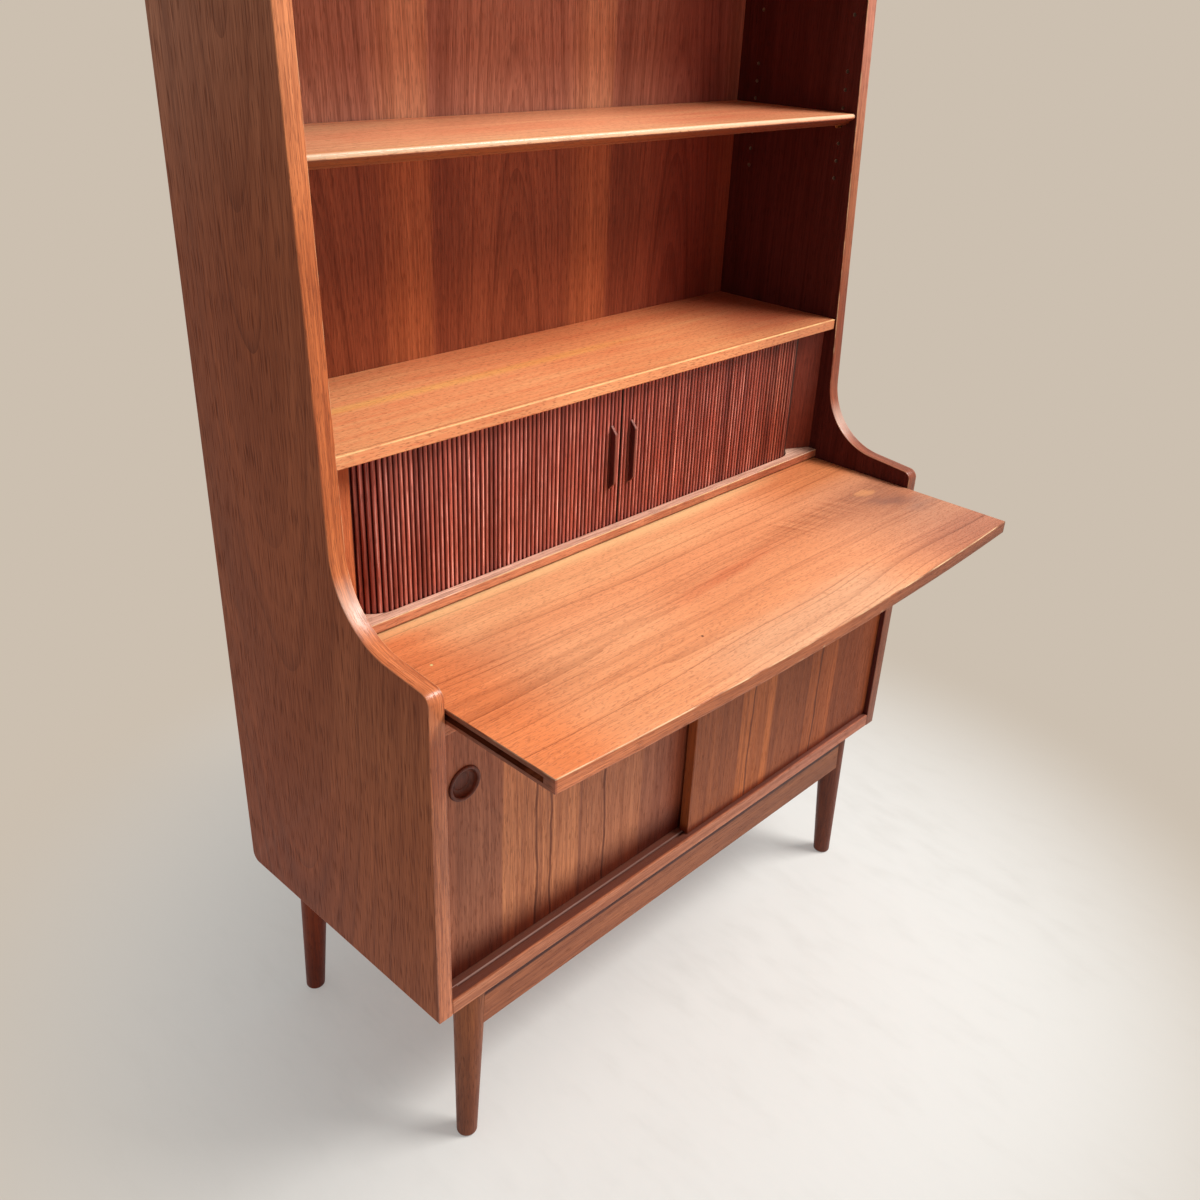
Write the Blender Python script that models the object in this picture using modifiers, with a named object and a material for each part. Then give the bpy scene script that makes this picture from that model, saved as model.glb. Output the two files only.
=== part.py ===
"""Teak bureau bookcase with a pull-out writing leaf, tambour doors above it and sliding doors below.

Units are metres, +Z is up and the front faces -Y. Pieces are drawn in the carcase frame, where x is 0 in the
middle, y is 0 on the front edge of the two sides and z is 0 on the floor. One empty then shifts the carcase
frame so that the world origin lies under the middle of the whole piece, with the leaf pulled out.
"""

import math

import bmesh
import bpy
from mathutils import Matrix, Vector

# Overall sizes
WIDTH = 1.000
DEPTH = 0.430
HEIGHT = 1.750
SIDE_T = 0.022
FIT = 0.0003
ARRIS = 0.0012
ARC_TOLERANCE = 0.00015
WELD = 0.00001

# Outline of the sides, from the nose at desk level up to the leaning bookcase front
SHOULDER_RISE = 0.0245
SHOULDER_SLOPE = 0.093
NOSE_R = 0.014
SWEEP_R = 0.105
UPPER_SET = 0.1742
UPPER_LEAN = 0.0437
TOP_CORNER_R = 0.014
HEEL_R = 0.014

# Base with four turned legs
CABINET_BASE = 0.275
LEG_TOP_R = 0.0225
LEG_FOOT_R = 0.0145
LEG_FOOT_ROUND = 0.004
LEG_INSET_X = 0.076
LEG_INSET_FRONT = 0.032
LEG_INSET_REAR = 0.037
LEG_SPLAY_X = 0.014
LEG_SPLAY_Y = 0.006
APRON_H = 0.070
APRON_T = 0.020
APRON_SET = 0.0025

# Backs, held in a rebate along the rear edge of the sides
BACK_SET = 0.0154
BACK_T = 0.006
REBATE_W = 0.011

# Lower cabinet and its sliding doors
BOTTOM_T = 0.022
HEAD_T = 0.016
DOOR_T = 0.016
DOOR_SET = 0.0084
DOOR_GAP = 0.0042
DOOR_OVERLAP = 0.025
DOOR_SIDE_GAP = 0.0005
DOOR_CLEAR = 0.001
TRACK_W = 0.006
TRACK_DEPTH = 0.005
HEAD_TRACK_DEPTH = 0.009
TRACK_END = 0.021
TONGUE_INSET = 0.024
TONGUE_PLAY = 0.0005
CABINET_SHELF_SET = 0.020

# Turned finger pulls let into the sliding doors
PULL_R = 0.024
PULL_BOWL_R = 0.0185
PULL_LEDGE_R = 0.013
PULL_FLOOR_R = 0.0115
PULL_STEP = 0.001
PULL_BODY_R = 0.0205
PULL_PROUD = 0.003
PULL_BOWL_DEPTH = 0.0065
PULL_BODY_DEPTH = 0.0095
PULL_EDGE_SET = 0.048
PULL_DROP = 0.099

# Writing leaf and its runners
DESK_HEIGHT = 0.735
LEAF_T = 0.019
LEAF_OUT = 0.170
LEAF_BOW = 0.015
LEAF_DEPTH = 0.400
LEAF_SIDE_GAP = 0.001
LEAF_GAP = 0.001
LEAF_CLEAR = 0.003
RUNNER_H = 0.0074
RUNNER_W = 0.008
RUNNER_REAR_GAP = 0.012
LEAF_GROOVE_DEPTH = 0.0095
LEAF_GROOVE_STOP = 0.017
RUNNER_NOSE_GAP = 0.003

# Tambour compartment
SILL_SET = 0.180
SILL_T = 0.0135
TAMBOUR_CLEAR = 0.2065
TAMBOUR_SET = 0.016
SHELF_T = 0.016
SLAT_PITCH = 0.0073
SLAT_T = 0.0055
SLAT_REED = 0.0040
REED_FLANK = 0.00102
REED_CROWN = 0.0012
LEAD_SLATS = 4
LEAD_BATTEN_T = 0.008
LEAD_BATTEN_CLEAR = 0.002
MEETING_GAP = 0.001
BEND_R = 0.037
RUN_INSET = 0.043
REAR_RUN_SET = 0.008
GROOVE_W = 0.007
FLOOR_GROOVE = 0.005
CEILING_GROOVE = 0.006
CURTAIN_TAIL = 0.020
TAMBOUR_PLAY = 0.0009
GUARD_T = 0.005
GUARD_PLAY = 0.0015
FILLER_W = 0.0415
FILLER_SPLAY = 0.020
FILLER_SET = 0.015
FILLER_T = 0.040
FILLER_EASE = 0.0035

# Carved tambour handles
HANDLE_LENGTH = 0.094
HANDLE_FLAT = 0.072
HANDLE_OUT = 0.0095
HANDLE_W = 0.0055
HANDLE_SET = 0.020
HANDLE_ROUND = 0.004

# Bookcase shelves on pins
SHELF_SET = 0.0033
LOOSE_SHELF_GAP = 0.0007
LOOSE_SHELF_BACK_GAP = 0.002
SHELF_NOSE_T = 0.0065
SHELF_BEVEL = 0.014
SHELF_RISE = 0.2885
TOP_T = 0.022
PIN_R = 0.0025
PIN_LENGTH = 0.019
PIN_SEAT = 0.008
PIN_PITCH = 0.025
PIN_ROWS = 3
PIN_FRONT_SET = 0.040
PIN_REAR_SET = 0.036

# Facets of turned pieces
TURN_STEPS = 24
BEAD_STEPS = 8
PIN_SIDES = 10

# Levels and lines that follow from the sizes above
INNER_X = WIDTH / 2 - SIDE_T
BACK_Y = DEPTH - BACK_SET
ORIGIN_SHIFT = (LEAF_OUT + LEAF_BOW - DEPTH) / 2
Z_BOTTOM = CABINET_BASE + BOTTOM_T
Z_LEAF_UNDER = DESK_HEIGHT - LEAF_T
Z_HEAD_TOP = Z_LEAF_UNDER - LEAF_CLEAR
Z_HEAD = Z_HEAD_TOP - HEAD_T
Z_SILL = DESK_HEIGHT + LEAF_GAP
Z_FLOOR = Z_SILL + SILL_T
Z_CEILING = Z_FLOOR + TAMBOUR_CLEAR
Z_SHELF = Z_CEILING + SHELF_T
Z_TOP_UNDER = HEIGHT - TOP_T
Z_LOWER_SHELF = Z_SHELF + SHELF_RISE
UPPER_ROW = round((Z_TOP_UNDER - Z_LOWER_SHELF) / 2 / PIN_PITCH)
Z_UPPER_SHELF = Z_LOWER_SHELF + UPPER_ROW * PIN_PITCH
Z_CABINET_SHELF = (Z_BOTTOM + Z_HEAD - SHELF_T) / 2
RUN_X = INNER_X - RUN_INSET
BEND_X = RUN_X - BEND_R
TAMBOUR_Y = SILL_SET + TAMBOUR_SET + SLAT_T / 2
REAR_RUN_Y = BACK_Y - REAR_RUN_SET
LEAD_W = LEAD_SLATS * SLAT_PITCH
REAR_DOOR_SET = DOOR_SET + DOOR_T + DOOR_GAP

LEFT = -1
RIGHT = 1
SIDE_NAMES = {LEFT: "left", RIGHT: "right"}


def front_of_side(z):
    """Carcase y of the leaning front edge of the sides at height z."""
    return UPPER_SET + UPPER_LEAN * (z - Z_SHELF)


def clear_scene():
    """Take every object out of the scene."""
    for obj in list(bpy.data.objects):
        bpy.data.objects.remove(obj, do_unlink=True)


def new_collection(name):
    """Make a collection under the scene and return it."""
    collection = bpy.data.collections.new(name)
    bpy.context.scene.collection.children.link(collection)
    return collection


clear_scene()
PARTS = new_collection("bureau_bookcase")
CUTTERS = new_collection("cutters")


def empty_at(name, point, parent=None):
    """Make an empty at a point, to carry the frame or a sliding body."""
    obj = bpy.data.objects.new(name, None)
    obj.location = point
    obj.parent = parent
    PARTS.objects.link(obj)
    return obj


FRAME = empty_at("carcase_frame", (0, ORIGIN_SHIFT, 0))


def finish(name, color, roughness, metallic=0.0):
    """Make a Principled material for one sub-part."""
    material = bpy.data.materials.new(name)
    material.use_nodes = True
    shader = material.node_tree.nodes["Principled BSDF"]
    shader.inputs["Base Color"].default_value = (*color, 1.0)
    shader.inputs["Roughness"].default_value = roughness
    shader.inputs["Metallic"].default_value = metallic
    return material


TEAK = (0.36, 0.14, 0.06)
TEAK_DARK = (0.20, 0.06, 0.03)
TEAK_LIGHT = (0.50, 0.20, 0.08)
TURNED_DARK = (0.06, 0.02, 0.015)
PLYWOOD = (0.55, 0.40, 0.25)
BRASS = (0.75, 0.55, 0.25)


def place(name, mesh, color, roughness=0.45, metallic=0.0, carrier=None):
    """Put a mesh drawn in the carcase frame into the scene as one sub-part.

    A moving piece names the empty that carries it, so that its parent sits on the line of the slide.
    """
    obj = bpy.data.objects.new(name, mesh)
    mesh.name = name
    obj.data.materials.append(finish(name + "_finish", color, roughness, metallic))
    PARTS.objects.link(obj)
    if carrier is None:
        obj.parent = FRAME
    else:
        obj.parent = carrier
        obj.location = -carrier.location
    return obj


def place_cutter(name, mesh):
    """Put a mesh into the scene as a hidden cutter."""
    obj = bpy.data.objects.new(name, mesh)
    mesh.name = name
    obj.hide_render = True
    obj.display_type = "WIRE"
    obj.parent = FRAME
    CUTTERS.objects.link(obj)
    return obj


def ease_edges(obj, width=ARRIS, segments=2):
    """Round the sharp edges of a piece."""
    bevel = obj.modifiers.new("arris", "BEVEL")
    bevel.width = width
    bevel.segments = segments
    bevel.limit_method = "ANGLE"
    bevel.angle_limit = math.radians(50)
    return obj


def boolean(obj, other, operation):
    """Cut or join another solid."""
    modifier = obj.modifiers.new(operation.lower() + "_" + other.name, "BOOLEAN")
    modifier.operation = operation
    modifier.solver = "EXACT"
    modifier.object = other
    return obj


def cut(obj, name, mesh):
    """Take a mesh away from a piece."""
    return boolean(obj, place_cutter(name, mesh), "DIFFERENCE")


def join(obj, name, mesh):
    """Grow a mesh onto a piece, so that both are one solid."""
    return boolean(obj, place_cutter(name, mesh), "UNION")


def box_mesh(low, high):
    """Mesh of a box between two corners."""
    low = Vector(low)
    size = Vector(high) - low
    mesh = bpy.data.meshes.new("box")
    work = bmesh.new()
    to_place = Matrix.Translation(low + size / 2) @ Matrix.Diagonal((*size, 1))
    bmesh.ops.create_cube(work, size=1, matrix=to_place)
    work.to_mesh(mesh)
    work.free()
    return mesh


def evaluated_mesh(obj):
    """Mesh of an object with its modifiers or its curve fill, welded, in the object's own frame."""
    bpy.context.view_layer.update()
    depsgraph = bpy.context.evaluated_depsgraph_get()
    mesh = bpy.data.meshes.new_from_object(obj.evaluated_get(depsgraph))
    bpy.data.objects.remove(obj, do_unlink=True)
    work = bmesh.new()
    work.from_mesh(mesh)
    bmesh.ops.remove_doubles(work, verts=work.verts, dist=WELD)
    bmesh.ops.dissolve_limit(work, angle_limit=math.radians(0.1), verts=work.verts, edges=work.edges)
    bmesh.ops.recalc_face_normals(work, faces=work.faces)
    work.to_mesh(mesh)
    work.free()
    return mesh


ACROSS_X = Matrix(((0, 0, 1, 0), (1, 0, 0, 0), (0, 1, 0, 0), (0, 0, 0, 1)))
ALONG_Z = Matrix.Identity(4)


def prism_mesh(loops, low, high, turn=ALONG_Z):
    """Mesh of a flat outline carried from low to high.

    ALONG_Z takes points (x, y) and ACROSS_X takes points (y, z). A second loop inside the first is a hole.
    """
    curve = bpy.data.curves.new("outline", "CURVE")
    curve.dimensions = "2D"
    curve.fill_mode = "BOTH"
    curve.extrude = (high - low) / 2
    for loop in loops:
        spline = curve.splines.new("POLY")
        spline.points.add(len(loop) - 1)
        for point, (u, v) in zip(spline.points, loop):
            point.co = (u, v, 0, 1)
        spline.use_cyclic_u = True
    obj = bpy.data.objects.new("outline", curve)
    CUTTERS.objects.link(obj)
    mesh = evaluated_mesh(obj)
    mesh.transform(turn @ Matrix.Translation((0, 0, (low + high) / 2)))
    return mesh


def turned_mesh(profile, steps=TURN_STEPS):
    """Mesh of a profile of (radius, height) points turned about Z, listed down its outer side."""
    mesh = bpy.data.meshes.new("profile")
    points = [(radius, 0, height) for radius, height in profile]
    edges = [(i, i + 1) for i in range(len(points) - 1)]
    mesh.from_pydata(points, edges, [])
    obj = bpy.data.objects.new("profile", mesh)
    CUTTERS.objects.link(obj)
    screw = obj.modifiers.new("turn", "SCREW")
    screw.steps = steps
    screw.render_steps = steps
    screw.use_merge_vertices = True
    screw.merge_threshold = WELD
    return evaluated_mesh(obj)


def pin_mesh(radius, start, length, direction, sides=PIN_SIDES):
    """Mesh of a round pin from a start point along a direction."""
    mesh = bpy.data.meshes.new("pin")
    work = bmesh.new()
    add_pin(work, radius, start, length, direction, sides)
    work.to_mesh(mesh)
    work.free()
    return mesh


def add_pin(work, radius, start, length, direction, sides=PIN_SIDES):
    """Add one closed cylinder to a bmesh."""
    direction = Vector(direction)
    turn = direction.to_track_quat("Z", "Y").to_matrix().to_4x4()
    middle = Matrix.Translation(Vector(start) + direction * length / 2)
    bmesh.ops.create_cone(work, cap_ends=True, segments=sides, radius1=radius, radius2=radius,
                          depth=length, matrix=middle @ turn)


def arc_points(centre, radius, start, sweep):
    """Points on an arc, one of them at its middle, close enough together for the arc tolerance."""
    step = 2 * math.acos(max(0.0, 1 - ARC_TOLERANCE / radius))
    count = 2 * max(1, math.ceil(abs(sweep) / step / 2))
    angles = [start + sweep * i / count for i in range(count + 1)]
    return [(centre[0] + radius * math.cos(a), centre[1] + radius * math.sin(a)) for a in angles]


def rounded_outline(corners):
    """Outline through corners (u, v, radius), each corner with a radius turned into a tangent arc."""
    outline = []
    for i, (u, v, radius) in enumerate(corners):
        here = Vector((u, v))
        if radius <= 0:
            outline.append((u, v))
            continue
        back = (Vector(corners[i - 1][:2]) - here).normalized()
        ahead = (Vector(corners[(i + 1) % len(corners)][:2]) - here).normalized()
        half = back.angle(ahead) / 2
        centre = here + (back + ahead).normalized() * (radius / math.sin(half))
        first = here + back * (radius / math.tan(half)) - centre
        last = here + ahead * (radius / math.tan(half)) - centre
        start = math.atan2(first.y, first.x)
        sweep = math.remainder(math.atan2(last.y, last.x) - start, 2 * math.pi)
        outline += arc_points(centre, radius, start, sweep)
    return outline


def board(name, low, high, color=TEAK, roughness=0.45, carrier=None):
    """Flat board between two corners with eased edges."""
    return ease_edges(place(name, box_mesh(low, high), color, roughness, carrier=carrier))


def full_radius(width):
    """Radius that rounds a strip of a width right over, with less than a weld left flat in its middle."""
    return (width - WELD / 2) / 2


def slot_outline(x_low, x_high, y_middle, width):
    """Outline of a routed slot with round ends."""
    half = width / 2
    radius = full_radius(width)
    return rounded_outline([
        (x_low, y_middle - half, radius),
        (x_high, y_middle - half, radius),
        (x_high, y_middle + half, radius),
        (x_low, y_middle + half, radius),
    ])


def pin_rows(row):
    """Numbers of the rows of pin holes bored around the row that a shelf uses."""
    return range(row - PIN_ROWS, row + PIN_ROWS + 1)


def pin_height(seat):
    """Height of the middle of the pins that carry a shelf seated at a height."""
    return seat - FIT - PIN_R


BOOK_PIN_YS = (UPPER_SET + PIN_FRONT_SET, BACK_Y - PIN_REAR_SET)
CABINET_PIN_YS = (REAR_DOOR_SET + DOOR_T + CABINET_SHELF_SET + PIN_FRONT_SET, BACK_Y - PIN_REAR_SET)
SHELF_GROUPS = (
    ("cabinet_shelf", Z_CABINET_SHELF, CABINET_PIN_YS),
    ("lower_shelf", Z_LOWER_SHELF, BOOK_PIN_YS),
    ("upper_shelf", Z_UPPER_SHELF, BOOK_PIN_YS),
)
HOLE_COLUMNS = (
    (Z_CABINET_SHELF, sorted(pin_rows(0)), CABINET_PIN_YS),
    (Z_LOWER_SHELF, sorted({*pin_rows(0), *pin_rows(UPPER_ROW)}), BOOK_PIN_YS),
)


def side_outline():
    """Outline of a side in (y, z): nose at desk level, concave sweep, leaning bookcase front."""
    shoulder = DESK_HEIGHT + SHOULDER_RISE
    lean_at_shoulder = front_of_side(shoulder)
    sweep_y = lean_at_shoulder / (1 - UPPER_LEAN * SHOULDER_SLOPE)
    sweep_z = shoulder + SHOULDER_SLOPE * sweep_y
    return rounded_outline([
        (0, CABINET_BASE, 0),
        (DEPTH, CABINET_BASE, HEEL_R),
        (DEPTH, HEIGHT, 0),
        (front_of_side(HEIGHT), HEIGHT, TOP_CORNER_R),
        (sweep_y, sweep_z, SWEEP_R),
        (0, shoulder, NOSE_R),
    ])


def pin_hole_mesh(side):
    """Mesh of all the pin holes of one side, as one cutter."""
    mesh = bpy.data.meshes.new("pin_holes")
    work = bmesh.new()
    for seat, rows, depths in HOLE_COLUMNS:
        for y in depths:
            for row in rows:
                start = (side * (INNER_X - PIN_SEAT), y, pin_height(seat) + row * PIN_PITCH)
                add_pin(work, PIN_R + FIT, start, 2 * PIN_SEAT + FIT, (side, 0, 0))
    work.to_mesh(mesh)
    work.free()
    return mesh


def make_side(side):
    """One side: a single board from the cabinet base to the top, rebated for the backs and bored for pins."""
    name = SIDE_NAMES[side] + "_side"
    faces = sorted((side * INNER_X, side * WIDTH / 2))
    obj = place(name, prism_mesh([side_outline()], *faces, ACROSS_X), TEAK, 0.5)
    ease_edges(obj)
    margin = SIDE_T
    rebate = sorted((side * (INNER_X - margin), side * (INNER_X + REBATE_W)))
    cut(obj, name + "_rebate", box_mesh((rebate[0], BACK_Y, CABINET_BASE - margin),
                                        (rebate[1], DEPTH + margin, HEIGHT + margin)))
    cut(obj, name + "_pin_holes", pin_hole_mesh(side))


def make_carcase_boards():
    """Boards that tie the sides together, and the two backs behind them."""
    x = INNER_X - FIT
    bottom = board("bottom_panel", (-x, 0, CABINET_BASE), (x, BACK_Y, Z_BOTTOM))
    head = board("door_head", (-x, DOOR_SET / 2, Z_HEAD), (x, BACK_Y, Z_HEAD_TOP))
    end = INNER_X - TRACK_END
    for place_name, set_back in (("front", DOOR_SET), ("rear", REAR_DOOR_SET)):
        slot = slot_outline(-end, end, set_back + DOOR_T / 2, TRACK_W)
        cut(bottom, place_name + "_track", prism_mesh([slot], Z_BOTTOM - TRACK_DEPTH, Z_BOTTOM + BOTTOM_T))
        cut(head, place_name + "_head_track", prism_mesh([slot], Z_HEAD - HEAD_T, Z_HEAD + HEAD_TRACK_DEPTH))
    board("top_panel", (-x, front_of_side(HEIGHT) + 2 * SHELF_SET, Z_TOP_UNDER), (x, BACK_Y, HEIGHT))
    back_x = INNER_X + REBATE_W - FIT
    back_low = BACK_Y + FIT
    back_high = back_low + BACK_T
    seam = Z_CEILING + SHELF_T / 2
    board("lower_back", (-back_x, back_low, CABINET_BASE), (back_x, back_high, seam - FIT / 2), PLYWOOD)
    board("upper_back", (-back_x, back_low, seam + FIT / 2), (back_x, back_high, HEIGHT), TEAK)


def shelf_profile(front, low):
    """Profile of a loose shelf in (y, z): a round nose over a long bevel cut back below it."""
    high = low + SHELF_T
    nose = full_radius(SHELF_NOSE_T)
    rear = BACK_Y - LOOSE_SHELF_BACK_GAP
    return rounded_outline([
        (front, high - SHELF_NOSE_T, nose),
        (front + SHELF_BEVEL, low, 0),
        (rear, low, 0),
        (rear, high, 0),
        (front, high, nose),
    ])


def make_loose_shelves():
    """Three loose shelves, each on four pins."""
    x = INNER_X - LOOSE_SHELF_GAP
    for name, seat, depths in SHELF_GROUPS:
        if name == "cabinet_shelf":
            front = REAR_DOOR_SET + DOOR_T + CABINET_SHELF_SET
        else:
            front = front_of_side(seat + SHELF_T) + SHELF_SET
        place(name, prism_mesh([shelf_profile(front, seat)], -x, x, ACROSS_X), TEAK_LIGHT, 0.4)
        for side in (LEFT, RIGHT):
            for label, y in zip(("front", "rear"), depths):
                start = (side * (INNER_X + PIN_SEAT - FIT), y, pin_height(seat))
                pin = pin_mesh(PIN_R, start, PIN_LENGTH, (-side, 0, 0))
                place(f"{name}_pin_{SIDE_NAMES[side]}_{label}", pin, BRASS, 0.35, 1.0)


def groove_ring(half_width):
    """Two loops of the groove that runs right round the tambour compartment."""
    loops = []
    for grow in (half_width, -half_width):
        x = RUN_X + grow
        radius = BEND_R + grow
        loops.append(rounded_outline([
            (-x, TAMBOUR_Y - grow, radius),
            (x, TAMBOUR_Y - grow, radius),
            (x, REAR_RUN_Y + grow, radius),
            (-x, REAR_RUN_Y + grow, radius),
        ]))
    return loops


def make_tambour_case():
    """Floor, ceiling, splayed fillers and inner guards of the tambour compartment."""
    x = INNER_X - FIT
    ring = groove_ring(GROOVE_W / 2)
    floor = board("tambour_floor", (-x, SILL_SET, Z_SILL), (x, BACK_Y, Z_FLOOR), TEAK_LIGHT)
    cut(floor, "floor_groove", prism_mesh(ring, Z_FLOOR - FLOOR_GROOVE, Z_FLOOR + SILL_T))
    shelf_front = front_of_side(Z_SHELF) + SHELF_SET
    shelf = board("fixed_shelf", (-x, shelf_front, Z_CEILING), (x, BACK_Y, Z_SHELF), TEAK_LIGHT)
    cut(shelf, "ceiling_groove", prism_mesh(ring, Z_CEILING - SHELF_T, Z_CEILING + CEILING_GROOVE))
    low = Z_FLOOR + FIT
    high = Z_CEILING - FIT
    outer_y = SILL_SET + FILLER_SET
    inner_x = INNER_X - FILLER_W
    for side in (LEFT, RIGHT):
        outline = [
            (side * inner_x, outer_y + FILLER_SPLAY),
            (side * x, outer_y),
            (side * x, outer_y + FILLER_T),
            (side * (inner_x + FILLER_EASE), outer_y + FILLER_T),
            (side * (inner_x + FILLER_EASE), outer_y + FILLER_SPLAY + 2 * FILLER_EASE),
        ]
        place(SIDE_NAMES[side] + "_filler", prism_mesh([outline], low, high), TEAK_DARK)
    corner = (BEND_R - SLAT_T / 2) * (1 - math.cos(math.pi / 4)) + SLAT_T / 2 + GUARD_PLAY
    guard_x = RUN_X - corner
    guard_front = TAMBOUR_Y + corner
    guard_rear = REAR_RUN_Y - corner
    for side in (LEFT, RIGHT):
        faces = sorted((side * (guard_x - GUARD_T), side * guard_x))
        name = SIDE_NAMES[side] + "_guard"
        place(name, box_mesh((faces[0], guard_front, low), (faces[1], guard_rear, high)), PLYWOOD)
    inner = guard_x - GUARD_T - FIT
    place("rear_guard", box_mesh((-inner, guard_rear - GUARD_T, low), (inner, guard_rear, high)), PLYWOOD)


def tambour_point(distance, offset):
    """Point of the left tambour at a distance from the meeting line along its path, set out by an offset.

    The path runs straight along the front, round a quarter bend, and then towards the back.
    """
    straight = BEND_X
    bend = BEND_R * math.pi / 2
    if distance <= straight:
        return (-distance, TAMBOUR_Y - offset)
    if distance <= straight + bend:
        angle = (distance - straight) / BEND_R
        reach = BEND_R + offset
        return (-BEND_X - reach * math.sin(angle), TAMBOUR_Y + BEND_R - reach * math.cos(angle))
    return (-RUN_X - offset, TAMBOUR_Y + BEND_R + distance - straight - bend)


def reeded_outline(start, slats, side):
    """Outline of a run of reeded slats on a cloth back: one round reed and one valley for each slat."""
    crest = SLAT_T / 2
    valley = crest - SLAT_REED
    shoulder = crest - REED_CROWN
    far_flank = SLAT_PITCH - REED_FLANK
    reed = ((0.0, valley), (REED_FLANK, shoulder), (SLAT_PITCH / 2, crest), (far_flank, shoulder))
    front = []
    for slat in range(slats):
        front += [tambour_point(start + slat * SLAT_PITCH + along, out) for along, out in reed]
    stop = start + slats * SLAT_PITCH
    front.append(tambour_point(stop, valley))
    back = [tambour_point(start + slat * SLAT_PITCH, -crest) for slat in range(slats, -1, -1)]
    return [(-side * x, y) for x, y in front + back]


def make_tambour(side):
    """One tambour door: a reeded lead stile on a batten, its handle, and the slatted curtain that follows."""
    name = SIDE_NAMES[side]
    low = Z_FLOOR - FLOOR_GROOVE + FIT
    high = Z_CEILING + CEILING_GROOVE - TAMBOUR_PLAY
    carrier = empty_at(name + "_tambour_slide", (0, TAMBOUR_Y, (low + high) / 2), FRAME)
    start = MEETING_GAP / 2
    lead_outline = reeded_outline(start, LEAD_SLATS, side)
    place(name + "_lead_stile", prism_mesh([lead_outline], low, high), TEAK_DARK, carrier=carrier)
    ends = sorted((side * (start + LEAD_BATTEN_CLEAR), side * (start + LEAD_W - LEAD_BATTEN_CLEAR)))
    batten_y = TAMBOUR_Y + SLAT_T / 2 + FIT
    board(name + "_lead_batten", (ends[0], batten_y, Z_FLOOR + LEAD_BATTEN_CLEAR),
          (ends[1], batten_y + LEAD_BATTEN_T, Z_CEILING - LEAD_BATTEN_CLEAR), TEAK_DARK, carrier=carrier)
    curtain_start = start + LEAD_W + FIT
    length = BEND_X + BEND_R * math.pi / 2 + CURTAIN_TAIL - curtain_start
    slats = math.floor(length / SLAT_PITCH)
    curtain = prism_mesh([reeded_outline(curtain_start, slats, side)], low, high)
    place(name + "_curtain", curtain, TEAK_DARK)
    make_handle(side, carrier)


def make_handle(side, carrier):
    """Long thin handle with sloping ends, seated on the reeds of the lead stile."""
    middle = (Z_FLOOR + Z_CEILING) / 2
    seat = TAMBOUR_Y - SLAT_T / 2 - FIT
    outline = rounded_outline([
        (seat, middle - HANDLE_LENGTH / 2, 0),
        (seat, middle + HANDLE_LENGTH / 2, 0),
        (seat - HANDLE_OUT, middle + HANDLE_FLAT / 2, HANDLE_ROUND),
        (seat - HANDLE_OUT, middle - HANDLE_FLAT / 2, HANDLE_ROUND),
    ])
    faces = [side * HANDLE_SET - HANDLE_W / 2, side * HANDLE_SET + HANDLE_W / 2]
    mesh = prism_mesh([outline], *faces, ACROSS_X)
    ease_edges(place(SIDE_NAMES[side] + "_tambour_handle", mesh, TEAK_DARK, carrier=carrier))


def make_leaf():
    """Writing leaf with a bowed front, grooved on both sides for the runners."""
    x = INNER_X - LEAF_SIDE_GAP
    rear = LEAF_DEPTH - LEAF_OUT
    radius = (x * x + LEAF_BOW * LEAF_BOW) / (2 * LEAF_BOW)
    half_angle = math.asin(x / radius)
    front = arc_points((0, radius - LEAF_BOW - LEAF_OUT), radius, -math.pi / 2 - half_angle, 2 * half_angle)
    carrier = empty_at("leaf_slide", (0, 0, DESK_HEIGHT - LEAF_T / 2), FRAME)
    outline = front + [(x, rear), (-x, rear)]
    mesh = prism_mesh([outline], Z_LEAF_UNDER, DESK_HEIGHT)
    leaf = place("writing_leaf", mesh, TEAK_LIGHT, 0.35, carrier=carrier)
    ease_edges(leaf)
    middle = DESK_HEIGHT - LEAF_T / 2
    runner_front = LEAF_GROOVE_STOP + RUNNER_NOSE_GAP
    for side in (LEFT, RIGHT):
        name = SIDE_NAMES[side]
        groove_x = sorted((side * (x - LEAF_GROOVE_DEPTH), side * (x + SIDE_T)))
        half = RUNNER_H / 2 + FIT
        groove = box_mesh((groove_x[0], LEAF_GROOVE_STOP - LEAF_OUT, middle - half),
                          (groove_x[1], rear + LEAF_DEPTH, middle + half))
        cut(leaf, name + "_leaf_groove", groove)
        runner_x = sorted((side * (INNER_X - FIT), side * (INNER_X - FIT - RUNNER_W)))
        runner = box_mesh((runner_x[0], runner_front, middle - RUNNER_H / 2),
                          (runner_x[1], BACK_Y - RUNNER_REAR_GAP, middle + RUNNER_H / 2))
        place(name + "_leaf_runner", runner, TEAK_DARK)


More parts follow.
